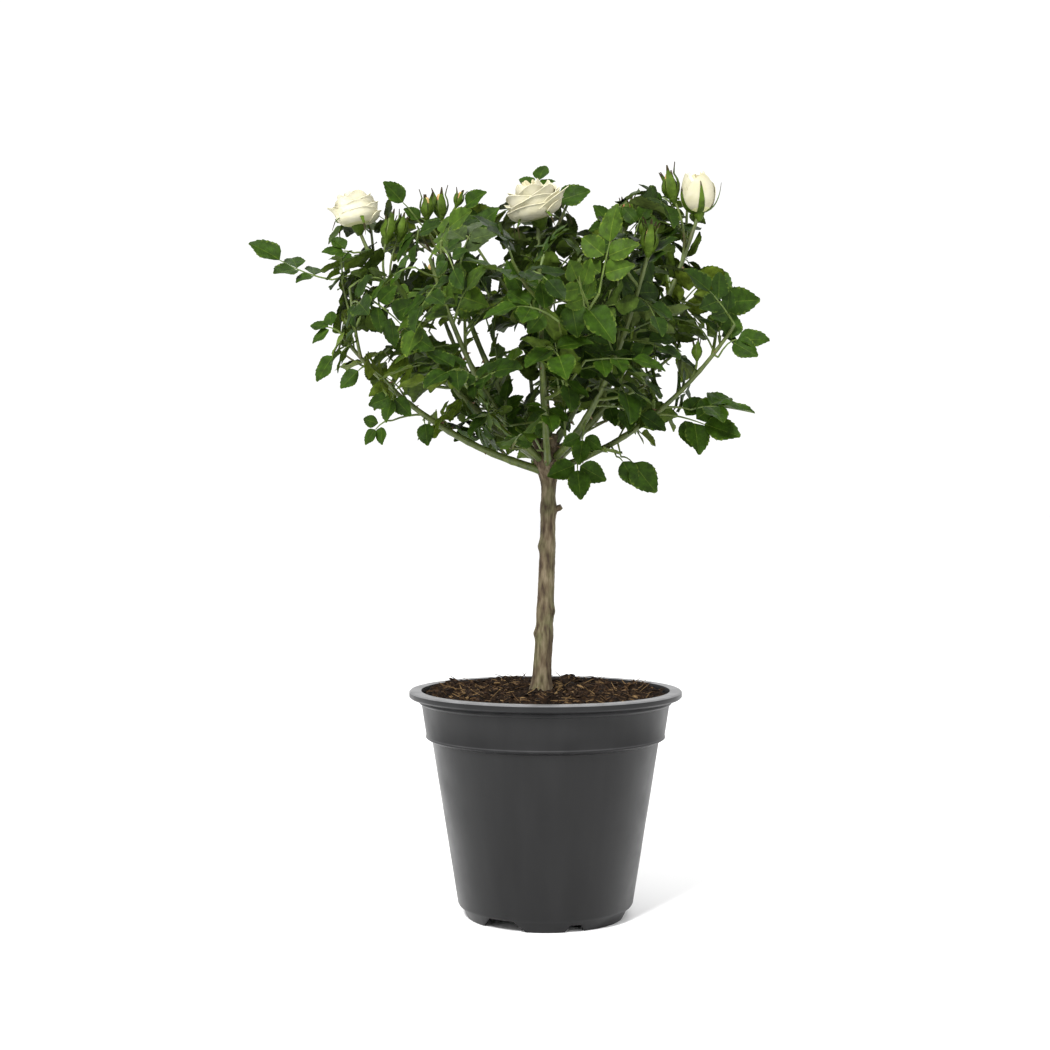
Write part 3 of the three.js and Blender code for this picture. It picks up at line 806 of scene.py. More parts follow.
@dataclass
class Pot:
    """The moulded pot: flat rim, wider band, tapering wall and a foot ring cut into pads."""

    height: float = 157
    rim_radius: float = 95
    rim_width: float = 8.4
    rim_depth: float = 5
    neck_height: float = 4.4
    band_top_radius: float = 86.4
    band_foot_radius: float = 83.1
    band_drop: float = 31.6
    step_height: float = 3.1
    wall_top_radius: float = 79.1
    wall_foot_radius: float = 61.2
    foot_height: float = 8
    foot_top_radius: float = 58.4
    foot_radius: float = 55
    foot_thickness: float = 3
    wall: float = 1.4
    floor: float = 1.6
    lip: float = 0.8
    bead: float = 0.35
    neck_bead: float = 0.6
    thirds: int = 3
    notches: tuple[Triple, ...] = ((-69, 8, 5), (-121.5, 18, 7.4))
    notch_top_share: float = 0.5
    drains: int = 6
    drain_radius: float = 5
    drain_ring: float = 43
    drain_turn: float = 20
    bevel: float = 0.5
    rim_edge: float = 0.9
    # How far up a face must look to get a painted highlight.
    level_normal: float = 0.25
    segments: int = 144

    @property
    def band_foot(self) -> float:
        """Height of the band's lower edge."""
        return self.height - self.band_drop

    def profile(self) -> list[Pair]:
        """Radius and height of each ring, from under the floor round the wall to the floor's top.

        Returns:
            The rings.
        """
        rim_foot = self.height - self.rim_depth
        band_top = rim_foot - self.neck_height
        wall_top = self.band_foot - self.step_height
        mouth = self.rim_radius - self.rim_width
        floor_top = self.foot_height + self.floor
        neck, bead = self.band_top_radius, self.neck_bead
        return [
            (0.5, self.foot_height),
            (self.foot_top_radius - self.foot_thickness, self.foot_height),
            (self.foot_radius - self.foot_thickness, 0),
            (self.foot_radius, 0),
            (self.foot_top_radius, self.foot_height),
            (self.wall_foot_radius - self.lip, self.foot_height),
            (self.wall_foot_radius, self.foot_height + 2 * self.lip),
            (self.wall_top_radius, wall_top),
            (self.band_foot_radius - self.lip, self.band_foot - 2 * self.lip),
            (self.band_foot_radius + self.bead, self.band_foot - self.lip),
            (self.band_foot_radius + self.bead, self.band_foot),
            (self.band_foot_radius, self.band_foot + 2 * self.bead),
            (neck, band_top),
            (neck + 2 * bead, band_top + bead),
            (neck + 3 * bead, band_top + 2.5 * bead),
            (neck + 2 * bead, band_top + 4.5 * bead),
            (self.rim_radius - 4, rim_foot),
            (self.rim_radius - 1, rim_foot + 0.2),
            (self.rim_radius, rim_foot + 1.2),
            (self.rim_radius, self.height - self.rim_edge),
            (self.rim_radius - self.rim_edge, self.height),
            (mouth, self.height),
            (mouth - 0.2, rim_foot),
            (neck - self.wall, band_top),
            (self.band_foot_radius - self.wall, self.band_foot),
            (self.wall_top_radius - self.wall, wall_top),
            (self.wall_foot_radius - self.wall, floor_top),
            (0.5, floor_top),
        ]

    def notch_cutter(self, middle: float, half_angle: float, rise: float) -> Object:
        """Model the block that cuts one notch with slanting flanks.

        Args:
            middle: Azimuth of the notch.
            half_angle: Half the angle that it spans.
            rise: Height of its top.

        Returns:
            The cutter.
        """
        deselect()
        half = self.foot_top_radius * tan(radians(half_angle))
        depth = 2 * (self.foot_top_radius - self.foot_radius) + 2 * self.foot_thickness
        bpy.ops.mesh.primitive_cube_add(size=MM)
        cutter = bpy.context.object
        cutter.scale = (2 * half, depth, rise + 2)
        cutter.location = heading(middle) * (self.foot_top_radius + self.foot_thickness - depth / 2) * MM
        cutter.location.z = (rise - 2) / 2 * MM
        cutter.rotation_euler.z = radians(middle - 90)
        for vertex in cutter.data.vertices:
            if vertex.co.z > 0:
                vertex.co.x *= self.notch_top_share
        return cutter

    def drain_cutter(self, azimuth: float) -> Object:
        """Model the drill of one drain hole at an azimuth.

        Args:
            azimuth: Where the hole is.

        Returns:
            The drill.
        """
        deselect()
        centre = heading(azimuth) * self.drain_ring * MM
        place = (centre[0], centre[1], (self.foot_height + self.floor / 2) * MM)
        bpy.ops.mesh.primitive_cylinder_add(
            vertices=32, radius=self.drain_radius * MM, depth=4 * self.floor * MM, location=place)
        return bpy.context.object

    def painted_highlight(self, face: bpy.types.MeshPolygon) -> PaintedHighlight:
        """How pale a face is painted: only faces outside that look up get a painted highlight.

        Args:
            face: The face.

        Returns:
            Its painted highlight, or the plain plastic.
        """
        outside = face.center.x * face.normal.x + face.center.y * face.normal.y > -MM
        height = face.center.z / MM
        if not outside or face.normal.z < self.level_normal or height < self.band_foot - 1:
            return PaintedHighlight.PLAIN
        return PaintedHighlight.RIM_HIGHLIGHT if height > self.height - self.rim_depth else PaintedHighlight.BEAD_HIGHLIGHT

    def build(self) -> None:
        """Model the pot, cut its foot and floor, and dress it."""
        pot = turned("rose_pot", self.profile(), self.segments)
        cutters = []
        for third in range(self.thirds):
            turn = third * 360 / self.thirds
            cutters += [self.notch_cutter(middle + turn, half, rise) for middle, half, rise in self.notches]
        for hole in range(self.drains):
            cutters.append(self.drain_cutter(self.drain_turn + hole * 360 / self.drains))
        for cutter in cutters:
            applied(pot, "BOOLEAN", operation="DIFFERENCE", object=cutter, solver="EXACT")
            bpy.data.objects.remove(cutter)
        applied(pot, "BEVEL", width=self.bevel * MM, segments=3, limit_method="ANGLE",
                angle_limit=radians(38))
        coat(pot, PaintedHighlight.materials(), 40)
        # Paint highlights in lighter plastic on the upward faces of the beads and of the rim's top.
        for face in pot.data.polygons:
            face.material_index = self.painted_highlight(face).number
        fit(pot, Slot.POT, ("pot",))


@dataclass
class Soil:
    """Potting mix that fills the pot, lumpy on top, with chips and fibres strewn over it."""

    pot: Pot
    drop: float = 6
    heap: float = 3.9
    lump: float = 3.4
    seat_radius: float = 6
    edge_gap: float = 0.5
    rings: int = 70
    segments: int = 240
    chips: int = 560
    chip_length: Pair = (2, 7)
    chip_width: Pair = (0.5, 1.9)
    fibres: int = 860
    fibre_length: Pair = (6, 16)
    fibre_width: Pair = (0.15, 0.34)
    seed: int = 5

    @property
    def top(self) -> float:
        """Mean height of the soil."""
        return self.pot.height - self.drop

    @property
    def edge(self) -> float:
        """Radius of the soil's rim."""
        return self.pot.band_top_radius - self.pot.wall - GAP - self.edge_gap

    def profile(self) -> list[Pair]:
        """Radius and height of each ring, from the floor up the wall and in over the top.

        Returns:
            The rings.
        """
        pot = self.pot
        inside = pot.wall + GAP
        floor = pot.foot_height + pot.floor + GAP
        rows = [
            (0.5, floor),
            (pot.wall_foot_radius - inside - GAP, floor),
            (pot.wall_top_radius - inside, pot.band_foot - pot.step_height),
            (pot.band_foot_radius - inside, pot.band_foot),
        ]
        rows += [(lerp(self.edge, 0.5, ring / self.rings), self.top) for ring in range(self.rings + 1)]
        return rows

    def heights(self, points: Vec) -> Vec:
        """How far the top stands above its mean height at points.

        Args:
            points: Points in millimetres, one a row.

        Returns:
            One height for each point.
        """
        radius = np.hypot(points[:, 0], points[:, 1])
        coarse = grain(points, (0.075, 0.075, 0), 3.7)
        crumbs = np.abs(grain(points, (0.19, 0.19, 0), 8.1))
        fine = grain(points, (0.5, 0.5, 0), 1.9)
        loose = np.clip((radius - self.seat_radius) / 4, 0, 1) * np.clip((self.edge - radius) / 3, 0.55, 1)
        return loose * (self.heap + self.lump * (1.4 * coarse + 1.5 * crumbs + 0.5 * fine))

    def body(self) -> None:
        """Model the soil itself."""
        soil = turned("potting_mix", self.profile(), self.segments)
        points = np.array([vertex.co for vertex in soil.data.vertices], float) / MM
        on_top = points[:, 2] > self.top - 0.01
        points[on_top, 2] += self.heights(points[on_top])
        move_to(soil, points)
        coat(soil, [PottingMix().material()], 60)
        fit(soil, Slot.SOIL, ("soil",))

    def strewn(self) -> None:
        """Model the chips and fibres that lie on the soil."""
        random = Seeded(self.seed)
        heap = Heap()
        for _ in range(self.chips + self.fibres):
            radius = lerp(self.seat_radius + 2, self.edge - 4, sqrt(random()))
            spot = heading(360 * random()) * radius
            spot[2] = self.top + float(self.heights(spot[None, :])[0])
            fibre = len(heap.points) >= self.chips
            length = random.between(*(self.fibre_length if fibre else self.chip_length))
            width = random.between(*(self.fibre_width if fibre else self.chip_width))
            direction = heading(360 * random(), random.between(-12, 40))
            curve = twig_curve(spot - 0.4 * length * direction + 0.4 * UP, direction, length,
                               random.between(-0.25, 0.05) if fibre else 0)
            flat = random.between(0.3, 0.7)
            points, faces = tube(curve, lambda share: width * (1 - 0.5 * abs(2 * share - 1) ** 3), 5, 3)
            points[:, 2] = spot[2] + (points[:, 2] - spot[2]) * (1 if fibre else flat)
            heap.add(points, faces, int(3.999 * random() ** (1.2 if fibre else 2.4)))
        fit(heap.piece("soil_chips", ChipWood.materials(), 35), Slot.SOIL)

    def build(self) -> None:
        """Model the soil and what lies on it."""
        self.body()
        self.strewn()


# Trunk and limbs

@dataclass
class Trunk:
    """The bare stem, from a flat cut at the soil to the knuckle of the graft."""

    soil: Soil
    foot: Pair = (-3.4, 0)
    bend: Pair = (2.4, 3)
    top: Triple = (2.2, 0.8, 331)
    foot_radius: float = 6.4
    top_radius: float = 4.5
    flare: float = 3.4
    flare_height: float = 7
    knuckle: Triple = (317, 9.6, 11)
    knots: tuple[Triple, ...] = (
        (196, 0.9, 200), (212, 0.7, 330), (257, 0.8, 190), (283, 0.9, 345))
    knot_spread: float = 4.5
    scar_spread: float = 3
    furrow: float = 0.28
    ridge: float = 0.22
    crumb: float = 0.14
    knuckle_rough: float = 2.2
    rough_spread: float = 12
    toes: int = 4
    toe: float = 1.3
    toe_height: float = 6
    sides: int = 48
    cuts: tuple[int, int] = (15, 14)
    stubs: tuple[tuple[float, float, float, float, float], ...] = (
        (282, 350, 20, 6.5, 2.0), (322, 200, 55, 10, 2.6), (326, 20, 60, 9, 2.4), (312, 275, 35, 8, 2.6),
        (318, 120, 45, 9, 2.8), (325, 300, 62, 10, 2.2), (308, 60, 30, 7, 2.2), (200, 205, 30, 2.6, 1.6))

    def __post_init__(self) -> None:
        """Lay the stem's line."""
        self.base = self.soil.top + GAP
        self.rise = self.top[2] - self.base
        self.curve = Curve(
            np.array((*self.foot, self.base)),
            np.array((*self.bend, self.base + self.rise / 2)),
            np.array(self.top, float))

    def radius(self, share: float) -> float:
        """The stem's radius at a share of its height, as in the solid.

        Args:
            share: Share of the stem's height.

        Returns:
            The radius.
        """
        height = self.base + share * self.rise
        middle, radius, spread = self.knuckle
        size = lerp(self.foot_radius, self.top_radius, share)
        size += self.flare * exp(-(height - self.base) / self.flare_height)
        size += (radius - self.top_radius) * exp(-(((height - middle) / spread) ** 2))
        for knot, swell, _ in self.knots:
            size += swell * exp(-(((height - knot) / self.knot_spread) ** 2))
        return size

    def relief(self, share: float, turn: float) -> float:
        """How far the bark stands out at a share of the height and an angle round the stem.

        Args:
            share: Share of the stem's height.
            turn: Angle round the stem, in radians.

        Returns:
            The height of the relief.
        """
        height = self.base + share * self.rise
        round_place = Vector((cos(turn), sin(turn), 0))
        furrow = noise.noise(round_place * 3.2 + Vector((0, 0, height * 0.055)))
        ridge = 1 - 2 * abs(noise.noise(round_place * 4.5 + Vector((7, 3, height * 0.12))))
        crumb = noise.noise(round_place * 9 + Vector((1, 5, height * 0.5)))
        rough = 1 + self.knuckle_rough * exp(-(((height - self.knuckle[0]) / self.rough_spread) ** 2))
        out = rough * (self.furrow * furrow + self.ridge * ridge + self.crumb * crumb)
        for knot, swell, azimuth in self.knots:
            facing = cos(turn - radians(azimuth))
            near = exp(-(((height - knot) / self.scar_spread) ** 2))
            out += swell * near * (1.3 * max(0.0, facing) ** 3 - 0.5)
        toes = max(0.0, cos(self.toes * turn + 0.6)) * exp(-(height - self.base) / self.toe_height)
        return out + self.toe * toes

    def build_stem(self) -> None:
        """Model the stem: a cylinder is cut into rings, which are carried along the line."""
        deselect()
        bpy.ops.mesh.primitive_cylinder_add(vertices=self.sides, radius=1, depth=1)
        stem = bpy.context.object
        for cuts in self.cuts:
            bpy.ops.object.mode_set(mode="EDIT")
            bpy.ops.mesh.select_mode(type="EDGE")
            bpy.ops.mesh.select_all(action="DESELECT")
            bpy.ops.object.mode_set(mode="OBJECT")
            heights = [vertex.co.z for vertex in stem.data.vertices]
            for edge in stem.data.edges:
                low, high = (heights[corner] for corner in edge.vertices)
                edge.select = abs(high - low) > 1e-5
            bpy.ops.object.mode_set(mode="EDIT")
            bpy.ops.mesh.subdivide(number_cuts=cuts)
        bpy.ops.object.mode_set(mode="OBJECT")
        start = np.array([vertex.co for vertex in stem.data.vertices], float)
        rows = []
        for x, y, z in start:
            share = min(max(z + 0.5, 0.0), 1.0)
            turn = atan2(y, x)
            axis = self.curve.tangent(share)
            across = square_to(np.array((1.0, 0, 0)), axis)
            spoke = across * cos(turn) + cross(axis, across) * sin(turn)
            reach = hypot(x, y) * (self.radius(share) + self.relief(share, turn))
            rows.append(self.curve.point(share) + reach * spoke)
        points = np.array(rows)
        points[:, 2] = np.maximum(points[:, 2], self.base)
        move_to(stem, points)
        coat(stem, [Bark().material()], 50)
        fit(placed(stem, "bare_stem"), Slot.BARK, ("trunk",))

    def build_stubs(self) -> None:
        """Model the stubs of cut shoots on the stem and the knuckle."""
        heap = Heap()
        sides, steps = 12, 8
        for index, (height, azimuth, rise, length, radius) in enumerate(self.stubs):
            share = (height - self.base) / self.rise
            direction = heading(azimuth, rise)
            root = self.curve.point(share) + heading(azimuth) * 0.55 * self.radius(share)
            curve = twig_curve(root, direction, length, 0.1)
            points, faces = tube(curve, tapered(1.15 * radius, radius), sides, steps)
            swell = 1 + 0.22 * grain(points, (0.5, 0.5, 0.25), index)
            heap.add(swollen(curve, points, steps + 1, swell), faces)
        fit(heap.piece("cut_stubs", [Bark().material()], 40), Slot.BARK)

    def build(self) -> None:
        """Model the stem and its stubs."""
        self.build_stem()
        self.build_stubs()


class End(Enum):
    """What a stem carries at its tip."""

    LEAF = "leaf"
    BUD = "bud"
    BLOOM = "bloom"


@dataclass
class Stem:
    """One bough and the stem that carries on from it into its mass of foliage."""

    name: str
    azimuth: float
    reach: float
    top: float
    root: float
    low: float
    radius: float = 2.8
    bare: float = 0.34
    end: End = End.LEAF
    index: int = 0
    seed: int = 0
    line: Curve = field(init=False)
    upper: Curve = field(init=False)

    TIP_RADIUS = 1.2
    OUT_SHARE = 0.6
    RISE_SHARE = 0.22

    def lay(self, trunk: Trunk, index: int) -> None:
        """Lay the stem's line from the knuckle to its tip.

        Args:
            trunk: The trunk that it leaves.
            index: Its place among the stems, which seeds its growth.
        """
        self.index = index
        self.seed = 1000 * (GROWTH_SEED + index)
        root = trunk.curve.point((self.root - trunk.base) / trunk.rise)
        tip = heading(self.azimuth) * self.reach
        tip[2] = self.top
        out = root + self.OUT_SHARE * (tip - root)
        out[2] = lerp(root[2], tip[2], self.RISE_SHARE)
        self.line = Curve(root, out, tip)
        self.upper = self.line.stretch(self.bare + GAP / self.line.length(), 1)

    def radius_at(self, share: float) -> float:
        """The radius at a share of the whole line."""
        return lerp(self.radius, self.TIP_RADIUS, share)


def planned_stems() -> list[Stem]:
    """The boughs of the crown, as in the solids.

    Returns:
        The stems, whose lines aren't laid yet.
    """
    bud, bloom = End.BUD, End.BLOOM
    return [
        Stem("left_low", 189, 141, 402, 309, 348, radius=2.9),
        Stem("left_high", 176, 131, 478, 318, 345, radius=3.1, end=bloom),
        Stem("left_inner", 158, 80, 486, 324, 360, end=bud),
        Stem("centre", 250, 16, 485, 328, 362, radius=3.9, end=bloom),
        Stem("right_high", 356, 106, 487, 319, 345, radius=3.2, end=bloom),
        Stem("right_low", 346, 132, 408, 310, 326, radius=2.4, bare=0.14),
        Stem("right_inner", 14, 58, 484, 325, 360, end=bud),
        Stem("back_left", 134, 122, 450, 313, 336, end=bud),
        Stem("back", 92, 78, 478, 322, 350, end=bud),
        Stem("back_low", 96, 132, 408, 309, 330, radius=2.5, bare=0.3),
        Stem("back_right", 52, 120, 450, 313, 336, end=bud),
        Stem("front_left", 228, 112, 446, 314, 342),
        Stem("front", 268, 104, 436, 311, 358, radius=2.6, bare=0.4),
        Stem("front_right", 308, 108, 450, 315, 345, end=bud),
    ]


# Free space of the crown

class Lines:
    """Polylines with a radius, for telling how far points are from them."""

    def __init__(self, rows: Sequence[tuple[Vec, Vec]]) -> None:
        """Keep the stretches of each line.

        Args:
            rows: Points and radii of each line.
        """
        self.start = np.concatenate([points[:-1] for points, _ in rows])
        self.step = np.concatenate([np.diff(points, axis=0) for points, _ in rows])
        self.radius = np.concatenate([radii[:-1] for _, radii in rows])
        self.growth = np.concatenate([np.diff(radii) for _, radii in rows])
        counts = [len(points) - 1 for points, _ in rows]
        self.first = np.concatenate(([0], np.cumsum(counts)[:-1]))

    def distances(self, points: Vec) -> Vec:
        """Distance from each point to the skin of each line, as a table.

        Args:
            points: Points in millimetres, one a row.

        Returns:
            One row for each point and one column for each line.
        """
        away = points[:, None, :] - self.start[None]
        share = np.clip((away * self.step).sum(2) / (self.step ** 2).sum(1), 0, 1)
        rest = np.linalg.norm(away - share[..., None] * self.step, axis=2)
        return np.minimum.reduceat(rest - self.radius - share * self.growth, self.first, axis=1)


@dataclass(frozen=True)
class Clearing:
    """A place where the sky shows through the crown, seen from the front."""

    x: float
    z: float
    half_width: float
    half_height: float


@dataclass
class Space:
    """The space that shoots and leaves keep to."""

    stems: Sequence[Stem]
    trunk: Trunk
    x: float = -14
    radius: float = 148
    top: float = 512
    fall: float = 0.2
    space_margin: float = 1.2
    limb_margin: float = 0.8
    low_middle: float = 320
    low_from: float = 60
    low_slope: float = 0.34
    clearings: tuple[Clearing, ...] = tuple(Clearing(*row) for row in (
        (85, 373, 6, 9), (-68, 406, 13, 6), (-120, 398, 10, 5), (-47, 392, 9, 7), (116, 374, 9, 10),
        (43, 333, 9, 6), (106, 347, 8, 5), (-84, 457, 7, 5), (2, 325, 8, 9), (-18, 370, 5, 7),
        (124, 467, 18, 16), (-163, 482, 10, 12), (25, 495, 8, 14), (99, 434, 5, 4), (-25, 401, 7, 4),
        (1, 358, 4, 8), (28, 343, 8, 6), (-146, 364, 20, 13), (6, 422, 4, 4), (12, 454, 4, 5),
        (-39, 463, 6, 4), (122, 488, 10, 7), (-159, 428, 8, 10), (-113, 426, 5, 3), (-103, 415, 3, 5),
        (-36, 436, 4, 4), (-74, 363, 6, 6), (-95, 353, 5, 4), (-81, 354, 4, 3), (-43, 353, 3, 3),
        (40, 360, 6, 3), (55, 375, 3, 3), (65, 400, 3, 3), (58, 447, 3, 3), (-107, 454, 3, 3),
        (-67, 457, 3, 4), (-49, 409, 4, 3), (108, 390, 4, 6)))

    def __post_init__(self) -> None:
        """Lay the lines of the limbs and of the masses' stems."""
        shares = np.linspace(0, 1, 9)
        trunk_shares = np.linspace(0, 1, 23)
        radii = np.array([self.trunk.radius(share) for share in trunk_shares])
        rows = [(self.trunk.curve.points(trunk_shares), radii)]
        for stem in self.stems:
            bough = stem.line.stretch(0, stem.bare)
            radii = np.array([stem.radius_at(share * stem.bare) for share in shares])
            rows.append((bough.points(shares), radii))
        self.limbs = Lines(rows)
        self.spaces = Lines([(stem.upper.points(shares), 0 * shares) for stem in self.stems])
        self.kept: list[tuple[Vec, float, bool]] = []

    def in_crown(self, points: Vec) -> Vec:
        """Which points are inside the crown's round outline and under its top."""
        inside = np.hypot(points[:, 0] - self.x, points[:, 1]) < self.radius
        return inside & (points[:, 2] < self.top - self.fall * np.abs(points[:, 1]))

    def fits(self, stem: Stem, points: Vec, radius: float) -> bool:
        """Whether a shoot's points are in the crown, nearest to their own stem and off every limb.

        Args:
            stem: The shoot's stem.
            points: The points, one a row.
            radius: How far the shoot stands out round them.

        Returns:
            Whether all of them fit.
        """
        if not np.all(self.in_crown(points) & (points[:, 2] > stem.low)):
            return False
        away = self.spaces.distances(points)
        own = away[:, stem.index] + self.space_margin + radius
        others = np.delete(away, stem.index, axis=1)
        if np.any(others < own[:, None]):
            return False
        return bool(np.all(self.limbs.distances(points) > radius + self.limb_margin))

    def keep_off(self, centre: Vec, radius: float, shown: bool) -> None:
        """Keep leaves off a round thing, and out of its view if it is to be shown."""
        self.kept.append((centre, radius, shown))

    def seen(self, points: Vec) -> tuple[Vec, Vec]:
        """Where points show to the viewer, in the upright plane through the pot's axis."""
        nearer = EYE_DISTANCE / (EYE_DISTANCE + points[:, 1])
        return points[:, 0] * nearer, EYE_HEIGHT + (points[:, 2] - EYE_HEIGHT) * nearer

    def open_sky(self, points: Vec) -> bool:
        """Whether any of the points would cover a clearing or a bloom.

        Args:
            points: Points in millimetres, one a row.

        Returns:
            Whether one would.
        """
        x, z = self.seen(points)
        for gap in self.clearings:
            if np.any(((x - gap.x) / gap.half_width) ** 2 + ((z - gap.z) / gap.half_height) ** 2 < 1):
                return True
        for centre, radius, _ in (thing for thing in self.kept if thing[2]):
            centre_x, centre_z = self.seen(centre[None, :])
            before = points[:, 1] < centre[1]
            if np.any(before & (np.hypot(x - centre_x, z - centre_z) < radius)):
                return True
        return False

    def has_room(self, points: Vec) -> bool:
        """Whether a leaf's points are in the crown, above its lower edge and clear of limbs and blooms.

        Args:
            points: Points in millimetres, one a row.

        Returns:
            Whether all of them are.
        """
        reach = np.hypot(points[:, 0], points[:, 1])
        low = self.low_middle + self.low_slope * np.maximum(0, reach - self.low_from)
        if not np.all(self.in_crown(points) & (points[:, 2] > low)):
            return False
        if any(np.any(np.linalg.norm(points - centre, axis=1) < radius) for centre, radius, _ in self.kept):
            return False
        return not self.open_sky(points) and bool(np.all(self.limbs.distances(points) > self.limb_margin))


# Leaves

class LeafletForm:
    """The form of one leaflet: an ovate toothed blade with a raised midrib and a paler underside."""

    STEPS = 8
    WIDTH = 0.73
    THICKNESS = 0.35
    RIB = 0.011
    MIDDLE = 0.52
    TOOTH_AT = 0.82
    TOOTH = (0.012, 0.022)

    def __init__(self) -> None:
        """Lay the flat form on a blade of length 1, with its faces by side."""
        rows: list[Triple] = []
        faces: Faces = []
        sides: list[int] = []
        shares = [i / self.STEPS for i in range(self.STEPS + 1)]
        for share in shares:
            rib = self.RIB * (1 - 0.7 * share)
            rows += [(share, rib, 1), (share, -rib, 1), (share, 0, -1)]
        rib_count = len(rows)
        for sign in (1, -1):
            for share in shares:
                half = max(self.half_width(share), self.RIB * (1 - 0.7 * share))
                middle = sign * self.MIDDLE * half
                rows += [(share, middle, 0.5), (share, sign * half, 0), (share, middle, -0.5)]
            for i in range(self.STEPS):
                tooth = lerp(shares[i], shares[i + 1], self.TOOTH_AT)
                forward, out = self.TOOTH
                rows.append((tooth + forward, sign * (self.half_width(tooth) + out), 0))
        per_side = 3 * len(shares) + self.STEPS
        for i in range(self.STEPS):
            faces.append((3 * i + 1, 3 * i + 4, 3 * i + 3, 3 * i))
            sides.append(1)
            for order, sign in enumerate((1, -1)):
                base = rib_count + order * per_side
                rib, rib_next = 3 * i + order, 3 * i + 3 + order
                low, low_next = 3 * i + 2, 3 * i + 5
                mid, edge, under, mid_next, edge_next, under_next = (base + 3 * i + k for k in range(6))
                tooth = base + 3 * len(shares) + i
                around = [(rib, rib_next, mid_next, mid), (mid, mid_next, edge_next, tooth, edge),
                          (low, under, under_next, low_next), (under, edge, tooth, edge_next, under_next)]
                faces += [face[::sign] for face in around]
                sides += [0, 0, 1, 1]
        self.flat = np.array(rows)
        self.faces = faces
        self.sides = np.array(sides)

    def half_width(self, share: float) -> float:
        """Half the blade's width at a share of its length."""
        inside = 0 < share < 1
        return 0.5 * self.WIDTH * sin(pi * share ** 0.78) ** 0.84 if inside else 0.0

    def shaped(self, length: float, fold: float, bend: float, twist: float) -> Vec:
        """The form in its own axes: along the blade, across it and up.

        Args:
            length: Length of the blade.
            fold: How far the halves rise beside the midrib, as a share of their width.
            bend: How far the tip sinks, as a share of the length.
            twist: How far the tip is turned, in radians.

        Returns:
            The vertices, one a row.
        """
        along, across, layer = self.flat.T
        up = fold * np.abs(across) * (1 - 0.8 * np.abs(across)) - bend * along ** 2
        up = up + 0.12 * np.abs(across) * np.sin(9 * along)
        thick = self.THICKNESS / length * np.where(layer > 0, 0.5 * layer, layer) * (1 - along)
        turn = twist * along
        side = across * np.cos(turn) - up * np.sin(turn)
        lift = across * np.sin(turn) + up * np.cos(turn)
        return length * np.stack((along, side, lift + thick), axis=1)


@dataclass
class Leaflet:
    """One leaflet in place: its root, its axes and its size."""

    root: Vec
    along: Vec
    up: Vec
    length: float

    SPOTS = ((0.2, 0), (0.42, 0), (0.7, 0), (1, 0), (0.42, 0.36), (0.42, -0.36), (0.7, 0.25), (0.7, -0.25))

    def corners(self) -> Vec:
        """The points that must have room."""
        across = cross(self.up, self.along) * self.length
        return np.array([self.root + at * self.length * self.along + off * across for at, off in self.SPOTS])


@dataclass
class Leaf:
    """One compound leaf: pairs of leaflets on a drooping stalk and one more at its end."""

    curve: Curve
    leaflets: list[Leaflet]
    tone: Tone = Tone.MID

    def corners(self) -> Vec:
        """The points that must have room."""
        return np.concatenate([leaflet.corners() for leaflet in self.leaflets])

    def middles(self) -> Vec:
        """The middles of the leaflets."""
        return np.array([leaflet.root + 0.5 * leaflet.length * leaflet.along for leaflet in self.leaflets])


@dataclass(frozen=True)
class Stray:
    """A leaf that stands out of the crown: where its twig begins and ends and where its stalk ends."""

    bough: str
    at: float
    knee: Triple
    tip: Triple
    scale: float
    pairs: int = 1
    face: Pair = (270, 25)
    arch: float = 0.1


@dataclass(frozen=True)
class SideBud:
    """A bud on a stalk of its own: where it leaves its stem and where it ends."""

    bough: str
    at: float
    tip: Triple
    size: float
    open_share: float


